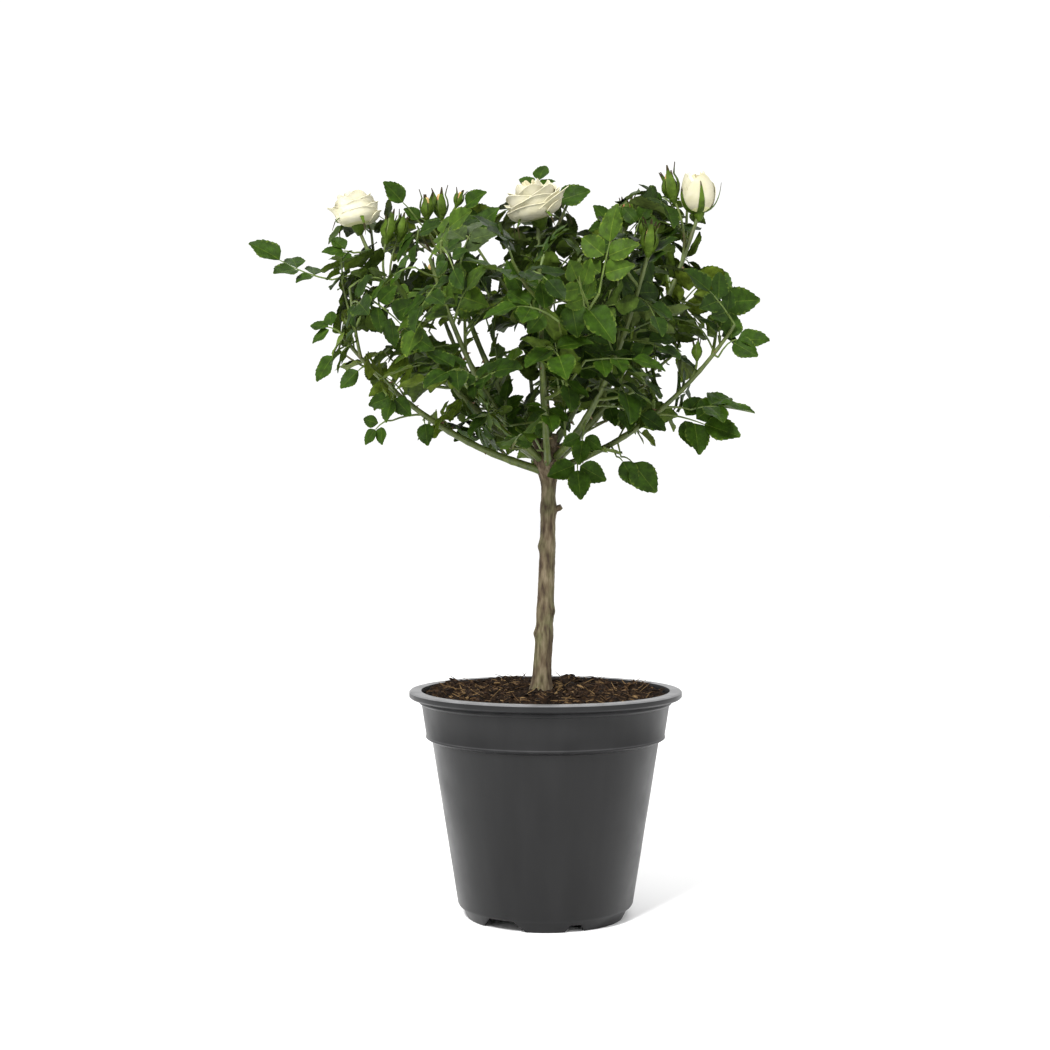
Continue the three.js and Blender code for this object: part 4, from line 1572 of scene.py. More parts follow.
@dataclass
class Foliage:
    """Shoots, twigs and leaves that grow on from the stems by the rule of the solids, and finer."""

    space: Space
    shoots_per_stem: int = 3
    shoot_longest: float = 70
    shoot_shortest: float = 42
    shoot_diverge: float = 55
    shoot_lift: float = 0.4
    shoot_radius: float = 1.3
    shoot_tip: float = 0.9
    shoot_tries: int = 12
    twigs_per_shoot: int = 2
    twig_longest: float = 32
    twig_radius: float = 0.85
    twig_lift: float = 0.25
    low_shares: tuple[float, ...] = (0.45, 0.7, 0.95)
    low_swing: float = 70
    low_rise: Pair = (-14, 30)
    low_length: Pair = (0.8, 1.2)
    low_lift: float = -0.05
    stray_bend: float = 0.12
    leaves_on_stem: int = 9
    leaves_on_shoot: int = 6
    leaves_on_twig: int = 3
    leaf_tries: int = 40
    leaf_scale: Pair = (1.05, 0.75)
    leaflets_apart: float = 10.6
    droop: Pair = (0.08, 0.6)
    leaf_diverge: float = 60
    outward: float = 0.5
    smallest: float = 0.6
    sway: float = 0.8
    face_foot: float = 320
    face_low: float = 78
    face_high: float = 34
    stalk: float = 39
    stalk_radii: Pair = (0.75, 0.4)
    blade: float = 26
    pairs: tuple[Triple, ...] = ((0.66, 60, 0.88), (0.33, 66, 0.74))
    petiolule: float = 2.2
    splay: float = 8
    leaflet_lift: Pair = (-0.16, 0.14)
    leaflet_roll: float = 0.3
    leaflet_size: Pair = (0.9, 1.1)
    lean_forward: float = 0.12
    lean_in: float = 0.16
    tip_radius: float = 0.6
    stub: float = 4
    tone_foot: float = 360
    tone_rise: float = 120
    # Chances at the crown's foot and top: the painted sky sheen grows upwards, and the brighter greens that
    # paint lamp light grow downwards.
    tone_chances: tuple[tuple[Tone, float, float], ...] = (
        (Tone.SKY_SHEEN, 0.04, 0.34), (Tone.SHADE, 0.18, 0.48), (Tone.DEEP, 0.42, 0.70), (Tone.MID, 0.68, 0.86),
        (Tone.FRESH, 0.94, 0.94))
    blade_seed: int = 77
    blade_fold: Pair = (0.18, 0.55)
    blade_bend: Pair = (0.02, 0.24)
    blade_twist: float = 0.25
    strays: tuple[Stray, ...] = (
        Stray("left_high", 0.8, (-150, 10, 444), (-187, 12, 458), 0.88, 2, (255, 62), -0.1),
        Stray("left_high", 0.9, (-134, 4, 462), (-141, 2, 463), 0.62, face=(250, 40)),
        Stray("left_inner", 0.8, (-90, 14, 486), (-100, 10, 498), 0.8, 0),
        Stray("left_inner", 0.85, (-82, 18, 484), (-88, 16, 488), 0.55, 0),
        Stray("left_inner", 0.9, (-62, 22, 488), (-56, 18, 497), 0.76, 0, arch=0.2),
        Stray("left_inner", 0.8, (-52, 20, 472), (-47, 16, 482), 0.72, arch=0.2),
        Stray("left_low", 0.3, (-84, -15, 345), (-83, -17, 342), 0.6, 0),
        Stray("left_low", 0.33, (-106, -14, 344), (-117, -15, 338), 0.52, arch=0.3),
        Stray("left_low", 0.6, (-103, -20, 364), (-105, -23, 358), 0.68, face=(260, 15)),
        Stray("left_low", 0.8, (-124, -21, 381), (-128, -22, 378), 0.62, 0),
        Stray("left_low", 0.97, (-138, -22, 394), (-145, -23, 388), 0.76, 0, (250, 30), 0.2),
        Stray("left_low", 0.99, (-142, -20, 405), (-149, -18, 408), 0.6, face=(255, 35)),
        Stray("right_low", 0.01, (22, -10, 320), (22, -16, 310), 0.88),
        Stray("front_right", 0.02, (26, -36, 338), (25, -38, 330), 0.62),
        Stray("right_low", 0.18, (49, -13, 319), (53, -14, 316), 0.72, 0, arch=0.35),
        Stray("right_low", 0.22, (52, -13, 319), (60, -14, 315), 0.98, 0, arch=0.3),
        Stray("right_low", 0.44, (88, -22, 347), (108, -25, 341), 1.05, 2, (275, 20), 0.05),
        Stray("right_low", 0.5, (99, -23, 351), (117, -26, 353), 1.05, face=(275, 62)),
        Stray("right_low", 0.84, (117, -30, 386), (130, -32, 398), 0.88, face=(285, 30), arch=0.35),
        Stray("right_high", 0.62, (103, -8, 424), (121, -10, 426), 1.0, face=(280, 15), arch=0),
        Stray("right_inner", 0.85, (62, 8, 473), (66, 6, 485), 0.62),
        Stray("right_inner", 0.9, (50, 6, 475), (45, 4, 482), 0.7),
        Stray("centre", 0.96, (-9, -4, 494), (-5, 4, 512), 0.6),
        Stray("centre", 0.9, (2, 8, 488), (9, 6, 498), 0.88, 0, arch=0.3),
        Stray("back_low", 0.2, (-6, 72, 336), (-3, 102, 321), 0.9, 2, (80, 30)))

    def __post_init__(self) -> None:
        """Begin with a bare crown."""
        self.form = LeafletForm()
        self.middles = np.zeros((0, 3))
        self.leaves: dict[str, list[Leaf]] = {stem.name: [] for stem in self.space.stems}
        self.twigs = Heap()
        self.random = Seeded(self.blade_seed)

    def face_at(self, point: Vec) -> Vec:
        """Which way a leaf's upper side looks: outwards low in the crown, to the sky near its top.

        Args:
            point: Where the leaf is.

        Returns:
            The direction.
        """
        share = min(max((point[2] - self.face_foot) / (self.space.top - self.face_foot), 0), 1)
        tilt = radians(lerp(self.face_low, self.face_high, share))
        return outwards(point) * sin(tilt) + UP * cos(tilt)

    def leaf(self, curve: Curve, scale: float, face: Vec, random: Seeded, pairs: int = 2) -> Leaf:
        """Lay out one compound leaf.

        Args:
            curve: Its stalk up to the last leaflet.
            scale: Size of the leaflets.
            face: Which way its upper side looks.
            random: Numbers for its small irregularities.
            pairs: How many pairs of leaflets it has below the last one.

        Returns:
            The leaf.
        """
        leaflets = []
        for at, turn, size in (*self.pairs[:pairs], (1.0, 0.0, 1.0)):
            point, axis = curve.point(at), curve.tangent(at)
            up = square_to(face, axis)
            across = cross(up, axis)
            for sign in (1, -1) if turn else (1,):
                angle = radians(turn + random.between(-self.splay, self.splay))
                along = axis * cos(angle) + sign * across * sin(angle)
                along = unit(along + up * random.between(*self.leaflet_lift))
                lean = up + (axis * self.lean_forward - sign * across * self.lean_in) * bool(turn)
                lean = lean + across * random.between(-self.leaflet_roll, self.leaflet_roll)
                length = self.blade * scale * size * random.between(*self.leaflet_size)
                foot = point + along * (self.petiolule if turn else 0.2)
                leaflets.append(Leaflet(foot, along, square_to(lean, along), length))
        return Leaf(curve, leaflets)

    def shoot(self, stem: Stem, order: int) -> Curve | None:
        """A side shoot, as in the solids, or None where it finds no room.

        Args:
            stem: The stem that it leaves.
            order: Its place along the stem.

        Returns:
            The shoot's line.
        """
        random = Seeded(stem.seed + 100 * (order + 1) + 50)
        share = (order + 0.5) / self.shoots_per_stem
        root, axis = stem.upper.point(share), stem.upper.tangent(share)
        length = lerp(self.shoot_longest, self.shoot_shortest, share) * (0.85 + 0.3 * random())
        roll = 360 * random()
        for turn in range(self.shoot_tries):
            direction = leaving(axis, self.shoot_diverge, roll + turn * GOLDEN_ANGLE)
            shorter = 1 - 0.5 * turn / self.shoot_tries
            curve = twig_curve(root, direction, length * shorter, self.shoot_lift)
            points = curve.points((0.35, 0.6, 0.8, 1))
            if self.space.fits(stem, points, self.shoot_radius) and not self.space.open_sky(points):
                return curve
        return None

    def twig(self, shoot: Curve, share: float, seed: int) -> Curve | None:
        """A fine twig on a shoot, or None where it finds no room.

        Args:
            shoot: The shoot that it leaves.
            share: Where along the shoot it leaves.
            seed: Seeds its length and turn.

        Returns:
            The twig's line.
        """
        random = Seeded(seed)
        root, axis = shoot.point(share), shoot.tangent(share)
        length = self.twig_longest * (0.7 + 0.3 * random())
        roll = 360 * random()
        for turn in range(self.shoot_tries):
            direction = leaving(axis, self.shoot_diverge, roll + turn * GOLDEN_ANGLE)
            curve = twig_curve(root, direction, length, self.twig_lift)
            if self.space.has_room(curve.points((0.4, 0.7, 1))):
                return curve
        return None

    def grow_leaves(self, stem: Stem, twig: Curve, count: int, seed: int) -> float:
        """Grow the leaves along a twig, each turned until it finds room beside the others.

        Args:
            stem: Their stem.
            twig: Their twig.
            count: How many leaves are tried.
            seed: Seeds the first leaf.

        Returns:
            The share of the twig's length at which its last leaf sits, 0 where none has room.
        """
        last = 0.0
        tone = self.spray_tone(twig.point(0.6), Seeded(seed + 7))
        for place in range(count):
            random = Seeded(seed + place)
            share = (place + 1) / count
            root, axis = twig.point(share), twig.tangent(share)
            roll = 360 * random()
            size = self.smallest + (1 - self.smallest) * random() ** 0.5
            sway = np.array([random.between(-self.sway, self.sway) for _ in range(3)])
            for turn in range(self.leaf_tries):
                effort = turn / self.leaf_tries
                direction = leaving(axis, self.leaf_diverge, roll + turn * GOLDEN_ANGLE)
                direction = unit(direction + outwards(root) * self.outward * (1 - 2 * effort))
                scale = size * lerp(*self.leaf_scale, effort)
                face = self.face_at(root + self.stalk * direction) + sway
                stalk = twig_curve(root, direction, self.stalk * scale, -random.between(*self.droop))
                leaf = self.leaf(stalk, scale, face, random)
                if self.settled(stem, leaf, tone):
                    last = share
                    break
        return last

    def settled(self, stem: Stem, leaf: Leaf, tone: Tone, free: bool = False) -> bool:
        """Keep a leaf if it has room.

        Args:
            stem: Its stem.
            leaf: The leaf.
            tone: The green that it gets.
            free: Whether it may stand out of the crown.

        Returns:
            Whether it was kept.
        """
        middles = leaf.middles()
        if not free:
            if len(self.middles):
                away = np.linalg.norm(self.middles[None] - middles[:, None], axis=2)
                if away.min() < self.leaflets_apart:
                    return False
            if not self.space.has_room(leaf.corners()):
                return False
        self.middles = np.concatenate((self.middles, middles))
        leaf.tone = tone
        self.leaves[stem.name].append(leaf)
        self.add_stalk(leaf)
        return True

    def add_stalk(self, leaf: Leaf) -> None:
        """Add a leaf's stalk, with the pair of small wings at its root, to the twigs.

        Args:
            leaf: The leaf.
        """
        stalk = TwigBark.STALK.number
        self.twigs.add(*tube(leaf.curve, tapered(*self.stalk_radii), 5, 4), stalk)
        axis = leaf.curve.tangent(0.1)
        up = square_to(UP, axis)
        across = cross(up, axis)
        for sign in (1, -1):
            rows = leaf.curve.points((0.03, 0.3, 0.34, 0.12))
            rows[2:] += sign * np.outer((1.3, 0.9), across)
            rim = [(i, i + 4, (i + 1) % 4 + 4, (i + 1) % 4) for i in range(4)]
            faces = [(0, 1, 2, 3), (7, 6, 5, 4), *rim]
            wing = np.concatenate((rows, rows - up * 0.25))
            self.twigs.add(wing, [face[::-sign] for face in faces], stalk)

    def spray_tone(self, point: Vec, random: Seeded) -> Tone:
        """Deal a spray its green: more often the painted sky sheen towards the top of the crown, and more
        often the brighter greens that paint lamp light towards its foot.

        Args:
            point: The middle of the spray.
            random: Numbers to deal by.

        Returns:
            The green.
        """
        height = min(max((point[2] - self.tone_foot) / self.tone_rise, 0), 1)
        chance = random()
        for tone, at_foot, at_top in self.tone_chances:
            if chance < lerp(at_foot, at_top, height):
                return tone
        return Tone.YOUNG

    def grow_strays(self, stem: Stem) -> None:
        """Grow the leaves that stand out of the crown on twigs of their own.

        Args:
            stem: The stem they leave.
        """
        for stray in (stray for stray in self.strays if stray.bough == stem.name):
            twig = arched(stem.upper.point(stray.at), np.array(stray.knee), self.stray_bend)
            self.twigs.add(*tube(twig, tapered(self.twig_radius, self.tip_radius), 6, 4))
            stalk = arched(twig.tip, np.array(stray.tip), stray.arch)
            leaf = self.leaf(stalk, stray.scale, heading(*stray.face), Seeded(stem.seed + 9), stray.pairs)
            self.settled(stem, leaf, Tone.MID, free=True)

    def low_shoot(self, stem: Stem, order: int) -> Curve | None:
        """A short shoot low on a bough, or None where it finds no room.

        Args:
            stem: The bough's stem.
            order: Its place along the bough.

        Returns:
            The shoot's line.
        """
        random = Seeded(stem.seed + 900 + 20 * order)
        root = stem.line.point(self.low_shares[order] * stem.bare)
        for _ in range(self.shoot_tries):
            swing = random.between(-self.low_swing, self.low_swing)
            direction = heading(stem.azimuth + swing, random.between(*self.low_rise))
            length = self.twig_longest * random.between(*self.low_length)
            curve = twig_curve(root, direction, length, self.low_lift)
            if self.space.has_room(curve.points((0.5, 0.75, 1))):
                return curve
        return None

    def trimmed(self, twig: Curve, last: float) -> Curve:
        """A twig cut a stub's length beyond the share where its last leaf sits."""
        return twig.stretch(0, min(1, last + self.stub / twig.length()))

    def grow_twig(self, stem: Stem, twig: Curve | None, count: int, seed: int) -> float:
        """Grow a fine twig with its leaves, up to its last leaf.

        Args:
            stem: Its stem.
            twig: Its line, or None where it has no room.
            count: How many leaves are tried.
            seed: Seeds its leaves.

        Returns:
            The share of its length that was grown.
        """
        last = self.grow_leaves(stem, twig, count, seed) if twig else 0.0
        if last:
            self.twigs.add(*tube(self.trimmed(twig, last), tapered(self.twig_radius, self.tip_radius), 6, 4))
        return last

    def grow_shoot(self, stem: Stem, order: int) -> None:
        """Grow a shoot with its leaves and twigs, up to the last thing that it carries.

        Args:
            stem: The stem that it leaves.
            order: Its place along the stem.
        """
        shoot = self.shoot(stem, order)
        if shoot is None:
            return
        seed = stem.seed + 100 * (order + 1)
        last = self.grow_leaves(stem, shoot, self.leaves_on_shoot, seed)
        for place in range(self.twigs_per_shoot):
            share = (place + 1) / (self.twigs_per_shoot + 0.6)
            twig = self.twig(shoot, share, seed + 60 + place)
            if self.grow_twig(stem, twig, self.leaves_on_twig, seed + 70 + 10 * place):
                last = max(last, share)
        if last:
            rule = tapered(self.shoot_radius, lerp(self.shoot_radius, self.shoot_tip, last))
            self.twigs.add(*tube(self.trimmed(shoot, last), rule, 7, 6))

    def grow(self) -> None:
        """Grow the strays and every stem's leaves, shoots and twigs."""
        for stem in self.space.stems:
            self.grow_strays(stem)
        for stem in self.space.stems:
            self.grow_leaves(stem, stem.upper, self.leaves_on_stem, stem.seed)
        for order in range(self.shoots_per_stem):
            for stem in self.space.stems:
                self.grow_shoot(stem, order)
        for order in range(len(self.low_shares)):
            for stem in self.space.stems:
                seed = stem.seed + 910 + 20 * order
                self.grow_twig(stem, self.low_shoot(stem, order), self.leaves_on_shoot, seed)

    def dress(self) -> None:
        """Make the joined meshes of twigs and of each mass's leaves."""
        fit(self.twigs.piece("twigs", TwigBark.materials(), 50), Slot.BOUGH)
        skins = [skin.material() for tone in Tone for skin in tone.skins()]
        tones = list(Tone)
        total = 0
        for name, leaves in self.leaves.items():
            heap = Heap()
            for leaf in leaves:
                first = 2 * tones.index(leaf.tone)
                for leaflet in leaf.leaflets:
                    self.add_leaflet(heap, leaflet, first)
                    total += 1
            fit(heap.piece(f"leaves_{name}", skins, 38), Slot.FOLIAGE, (f"foliage_{name}",))
        LOG.info("%d leaflets", total)

    def add_leaflet(self, heap: Heap, leaflet: Leaflet, first: int) -> None:
        """Add one leaflet's blade to a heap.

        Args:
            heap: The heap of its mass.
            leaflet: The leaflet.
            first: Number of its upper side's finish, with the underside's after it.
        """
        random = self.random
        fold, bend = random.between(*self.blade_fold), random.between(*self.blade_bend)
        twist = random.between(-self.blade_twist, self.blade_twist)
        shape = self.form.shaped(leaflet.length, fold, bend, twist)
        axes = np.stack((leaflet.along, cross(leaflet.up, leaflet.along), leaflet.up))
        heap.add(leaflet.root + shape @ axes, self.form.faces, (first + self.form.sides).tolist())


# Boughs

@dataclass
class Boughs:
    """The limbs of the crown with their nodes and thorns."""

    stems: Sequence[Stem]
    sides: int = 14
    steps: int = 46
    node_every: float = 17
    node_length: float = 1.6
    node_swell: float = 0.16
    collar: float = 0.35
    collar_length: float = 6
    uneven: float = 0.07
    bark: GreenBark = GreenBark(
        "limb_bark", (0.036, 0.056, 0.008), (0.080, 0.104, 0.018), (0.066, 0.060, 0.018), 0.6)
    thorns_per_stem: int = 9
    thorn: float = 3.6
    thorn_sides: int = 8
    thorn_skin: GreenBark = GreenBark(
        "thorn", (0.075, 0.045, 0.018), (0.150, 0.095, 0.036), (0.110, 0.032, 0.020), 0.5)
    seed: int = 31

    def limb(self, stem: Stem) -> tuple[Vec, Faces]:
        """One limb: a tube that swells at its nodes and is never quite round.

        Args:
            stem: The limb's stem.

        Returns:
            Its vertices and faces.
        """
        length = stem.line.length()

        def radius(share: float) -> float:
            """The limb's radius with the swelling of the nearest node.

            Args:
                share: Share of the limb's length.

            Returns:
                The radius.
            """
            phase = (share * length / self.node_every + 0.37 * stem.index) % 1
            node = exp(-(((phase - 0.5) * self.node_every / self.node_length) ** 2))
            collar = self.collar * exp(-share * length / self.collar_length)
            return stem.radius_at(share) * (1 + self.node_swell * node + collar)

        points, faces = tube(stem.line, radius, self.sides, self.steps)
        swell = 1 + self.uneven * grain(points, (0.3, 0.3, 0.12), stem.index)
        return swollen(stem.line, points, self.steps + 1, swell), faces

    def thorns(self, stem: Stem, random: Seeded) -> Iterator[tuple[Vec, Faces]]:
        """The thorns of one limb: cones on a long foot that hook downwards.

        Args:
            stem: The limb's stem.
            random: Numbers that place them.

        Yields:
            The vertices and faces of each.
        """
        for place in range(self.thorns_per_stem):
            share = (place + random()) / self.thorns_per_stem
            if not 0.08 < share < 0.9:
                continue
            axis = stem.line.tangent(share)
            out = leaving(axis, 90, 360 * random())
            foot = stem.line.point(share) + out * stem.radius_at(share) * 0.75
            size = self.thorn * random.between(0.6, 1.1)
            across = cross(axis, out)
            sides = self.thorn_sides
            ring = [foot + axis * 0.42 * size * cos(turn) + across * 0.16 * size * sin(turn)
                    for turn in np.linspace(0, 2 * pi, sides, endpoint=False)]
            waist = [foot + out * 0.45 * size + (point - foot) * 0.45 - axis * 0.12 * size for point in ring]
            tip = foot + out * size - axis * 0.42 * size
            steps = [(i, (i + 1) % sides) for i in range(sides)]
            faces = [(one, one + sides, other + sides, other) for one, other in steps]
            faces += [(one + sides, 2 * sides, other + sides) for one, other in steps]
            yield np.array([*ring, *waist, tip]), [face[::-1] for face in faces]

    def build(self) -> None:
        """Model the limbs and their thorns."""
        random = Seeded(self.seed)
        limbs, thorns = Heap(), Heap()
        for stem in self.stems:
            limbs.add(*self.limb(stem))
            for points, faces in self.thorns(stem, random):
                thorns.add(points, faces)
        nodes = [f"bough_{stem.name}" for stem in self.stems]
        fit(limbs.piece("boughs", [self.bark.material()], 50), Slot.BOUGH, nodes)
        fit(thorns.piece("thorns", [self.thorn_skin.material()], 40), Slot.BOUGH)


# Blooms and buds

@dataclass(frozen=True)
class Whorl:
    """A ring of petals in a bloom, sized as shares of the bloom's radius and height."""

    petals: int
    radius: float
    height: float
    lip: float
    spread: float
    curl: float
    tint: PetalTint


class Opening(Enum):
    """How far a bloom is open."""

    FULL = "full"
    HALF = "half"


@dataclass(frozen=True)
class Head:
    """What sits at a stem's tip: how far off the tip, how it leans, and the size and form of a bloom."""

    raised: float = 0
    lean: Triple = (0, 0, 0)
    size: Pair = (0, 0)
    opening: Opening = Opening.FULL
    pointed_at: float | None = None


@dataclass
class Flowers:
    """The open blooms and the buds at the tips of stems and on stalks of their own."""

    space: Space
    heads: dict[str, Head] = field(default_factory=lambda: {
        "left_high": Head(4, size=(16.5, 25), pointed_at=186),
        "left_inner": Head(6),
        "centre": Head(-2.5, (-0.46, -0.3, 0), (20.5, 27), pointed_at=350),
        "right_high": Head(0.5, (-0.25, 0, 0), (12.2, 28), Opening.HALF)})
    bud_radius: float = 4.6
    bud_height: float = 18
    side_buds: tuple[SideBud, ...] = (
        SideBud("left_high", 0.62, (-111, 6, 472), 0.95, 0.0),
        SideBud("left_high", 0.62, (-103, 12, 474), 0.9, 0.0),
        SideBud("left_inner", 0.8, (-84, 20, 490), 0.85, 0.25),
        SideBud("left_inner", 0.9, (-63, 25, 499), 0.6, 0.45),
        SideBud("right_high", 0.7, (88, -8, 498), 1.1, 0.2),
        SideBud("right_inner", 0.85, (68, 10, 476), 0.7, 0.3),
        SideBud("right_low", 0.62, (103, -26, 386), 0.62, 0.0))
    whorls: tuple[Whorl, ...] = (
        Whorl(3, 0.88, 0.5, 1.0, 84, 0.16, PetalTint.OUTER),
        Whorl(4, 0.84, 0.68, 1.0, 74, 0.18, PetalTint.OUTER),
        Whorl(4, 0.74, 0.85, 1.0, 74, 0.2, PetalTint.INNER),
        Whorl(4, 0.58, 0.98, 1.0, 74, 0.18, PetalTint.INNER),
        Whorl(4, 0.4, 1.0, 0.94, 74, 0.08, PetalTint.INNER),
        Whorl(3, 0.22, 0.97, 0.85, 85, 0.0, PetalTint.HEART))
    half_open: tuple[Whorl, ...] = (
        # The outer two whorls take the darker ivory of painted shade.
        Whorl(3, 0.98, 0.9, 0.74, 76, 0.0, PetalTint.SHADED),
        Whorl(3, 0.9, 0.97, 0.66, 78, 0.0, PetalTint.SHADED),
        Whorl(3, 0.7, 0.98, 0.6, 80, 0.0, PetalTint.INNER),
        Whorl(3, 0.45, 0.95, 0.5, 85, 0.0, PetalTint.HEART))
    sepals: int = 5
    sepal_thickness: float = 0.35
    sepal_reach: tuple[Pair, ...] = (
        (0.82, 0.0), (0.8, 5.0), (0.9, 1.0), (0.85, 0.5), (0.75, 0.0))
    sepal_turn: float = 278
    bud_room: float = 8
    rows: int = 9
    columns: int = 8
    petal_thickness: float = 0.4
    seed: int = 9

    def __post_init__(self) -> None:
        """Begin with nothing gathered and keep leaves off the blooms."""
        self.petals, self.green = Heap(), Heap()
        self.random = Seeded(self.seed)
        for stem in self.space.stems:
            root, axis = self.seat(stem)
            if stem.end is End.BLOOM:
                radius, height = self.head(stem).size
                self.space.keep_off(root + axis * 0.5 * height, radius + 2, True)
            elif stem.end is End.BUD:
                self.space.keep_off(root + axis * 0.5 * self.bud_height, self.bud_room, False)
        for bud in self.side_buds:
            centre = np.array(bud.tip) + UP * 0.5 * bud.size * self.bud_height
            self.space.keep_off(centre, self.bud_room, True)

    def head(self, stem: Stem) -> Head:
        """What sits at a stem's tip."""
        return self.heads.get(stem.name, Head())

    def seat(self, stem: Stem) -> tuple[Vec, Vec]:
        """Where a stem's bloom or bud sits, and its axis."""
        axis = unit(0.5 * stem.upper.tangent(1) + UP + np.array(self.head(stem).lean))
        return stem.upper.tip + axis * self.head(stem).raised, axis

    def sheet(self, heap: Heap, grid: Vec, thickness: float, finishes: Sequence[int]) -> None:
        """Add a thin closed sheet to a heap.

        Args:
            heap: The heap.
            grid: Rows and columns of points of its inner side.
            thickness: How thick it is.
            finishes: The number of the finish between each two rows.
        """
        rows, columns = grid.shape[:2]
        normal = np.cross(np.gradient(grid, axis=1), np.gradient(grid, axis=0))
        normal = normal / np.maximum(np.linalg.norm(normal, axis=2, keepdims=True), 1e-9)
        outer = grid + normal * thickness
        count = rows * columns
        faces: Faces = []
        dealt: list[int] = []
        for i in range(rows - 1):
            for j in range(columns - 1):
                a, b = i * columns + j, (i + 1) * columns + j
                faces.append((a, a + 1, b + 1, b))
                faces.append((a + count, b + count, b + 1 + count, a + 1 + count))
                dealt += [finishes[i]] * 2
        border = [*range(columns)] + [i * columns + columns - 1 for i in range(1, rows)]
        border += [(rows - 1) * columns + j for j in range(columns - 2, -1, -1)]
        border += [i * columns for i in range(rows - 2, 0, -1)]
        for i, corner in enumerate(border):
            after = border[(i + 1) % len(border)]
            faces.append((after, corner, corner + count, after + count))
            dealt.append(finishes[min(corner // columns, rows - 2)])
        heap.add(np.concatenate((grid.reshape(-1, 3), outer.reshape(-1, 3))), faces, dealt)

    @staticmethod
    def profile(radius: float, height: float, lip: float) -> Vec:
        """Distance from the axis and height of the four points that a petal's cup is bent by."""
        return np.array(((1.5, 0), (1.18 * radius, 0.02 * height),
                         (1.1 * radius, 0.66 * height), (lip * radius, height)))

    @staticmethod
    def along(control: Vec, reach: float) -> Vec:
        """The place at a share of the way up a petal's cup."""
        rest = 1 - reach
        return np.array((rest ** 3, 3 * rest * rest * reach, 3 * rest * reach * reach, reach ** 3)) @ control

    def sepal_sheet(self, root: Vec, axes: Vec, turn: float, rows: Sequence[Triple], cup: float) -> None:
        """Add the blade of a sepal, brown at its tip, to the green parts.

        Args:
            root: Where the bloom or bud sits.
            axes: Its axes, its own axis last.
            turn: Where round the axis it stands.
            rows: Distance from the axis, height and half width at each row of the blade.
            cup: How far its sides stand in.
        """
        grid = np.zeros((len(rows), 3, 3))
        for line, (out, up, half) in zip(grid, rows):
            for j, across in enumerate((-1, 0, 1)):
                spot = radians(turn) + half * across / max(out, 1)
                near = out - cup * abs(across)
                line[j] = (near * cos(spot), near * sin(spot), up)
        tints = [SepalTint.BLADE.number] * (len(rows) - 2) + [SepalTint.TIP.number]
        self.sheet(self.green, root + grid @ axes, self.sepal_thickness, tints)

    def hugging_sepal(self, root: Vec, axes: Vec, size: Pair, turn: float,
                      reach: float, loose: float) -> None:
        """Add one sepal that lies along the outer petals of a half-open bloom.

        Args:
            root: Where the bloom sits.
            axes: The bloom's axes, its own axis last.
            size: Radius and height of the bloom.
            turn: Where round the bloom it stands.
            reach: How far up the petals it goes, from 0 to 1.
            loose: How far its tip stands off.
        """
        outer = self.half_open[0]
        control = self.profile(outer.radius * size[0], outer.height * size[1], outer.lip)
        rows = []
        for share in (i / 8 for i in range(9)):
            out, up = self.along(control, reach * share)
            half = 2.3 * max(0.08, sin(pi * (0.3 + 0.7 * share) ** 0.9))
            rows.append((out + (0.7 + loose * share ** 2), up, half))
        self.sepal_sheet(root, axes, turn, rows, 0)

    def petal(self, root: Vec, axes: Vec, whorl: Whorl, size: Pair,
              turn: float, pointed: bool = False) -> None:
        """Add one petal.

        Args:
            root: Where the bloom sits.
            axes: The bloom's axes, its own axis last.
            whorl: The ring that the petal belongs to.
            size: Radius and height of the bloom.
            turn: Where in the ring it stands.
            pointed: Whether it bends out to a point.
        """
        random = self.random
        radius, height = whorl.radius * size[0], whorl.height * size[1]
        lip = whorl.lip * random.between(0.95, 1.05) + (0.42 if pointed else 0)
        height *= random.between(0.94, 1.05)
        control = self.profile(radius, height, lip)
        wave, shift = random.between(0.5, 1.4), random.between(0, 6)
        grid = np.zeros((self.rows, self.columns, 3))
        for i in range(self.rows):
            for j in range(self.columns):
                across = 2 * j / (self.columns - 1) - 1
                point = 0.5 * (1 - abs(across)) ** 0.8 + 0.5 if pointed else 1 - 0.2 * abs(across) ** 2.4
                reach = i / (self.rows - 1) * point
                out, up = self.along(control, reach)
                rolled = whorl.curl * (max(0.0, reach - 0.62) / 0.38) ** 2
                out += size[0] * rolled * (0.75 + 0.5 * across ** 2)
                up -= size[1] * rolled * (0.5 + 0.5 * across ** 2)
                out += 0.03 * size[0] * wave * reach * sin(4 * across + shift)
                out -= 0.05 * size[0] * across * reach
                fan = whorl.spread * (0.35 + 0.65 * sin(pi * min(reach, 0.92) ** 0.8))
                angle = radians(turn + across * fan)
                grid[i, j] = (out * cos(angle), out * sin(angle), up)
        # The two lowest rows take the foot tint, partly painted shade where the petals crowd together.
        tints = [PetalTint.FOOT_TINT_AND_SHADE.number] * 2 + [whorl.tint.number] * (self.rows - 3)
        self.sheet(self.petals, root + grid @ axes, self.petal_thickness, tints)

    def sepal(self, root: Vec, axes: Vec, turn: float, start: float, length: float, width: float,
              lean: float) -> None:
        """Add one sepal: a narrow blade that ends in a long point.

        Args:
            root: Where the bloom or bud sits.
            axes: Its axes, its own axis last.
            turn: Where round the axis it stands.
            start: Distance from the axis where it begins.
            length: Its length.
            width: Its width.
            lean: How far it leans away from the axis at its tip, in degrees.
        """
        rows = []
        for share in (i / 6 for i in range(7)):
            angle = radians(lean) * share ** 1.3
            belly = 0.9 * sin(pi * min(1.0, 1.5 * share)) * (lean < 60)
            out = start * (1 + belly) + length * share * sin(angle)
            up = length * share * cos(angle)
            half = width * max(0.06, sin(pi * (0.2 + 0.8 * share) ** 0.8))
            rows.append((out, up, half))
        self.sepal_sheet(root, axes, turn, rows, 0.25)

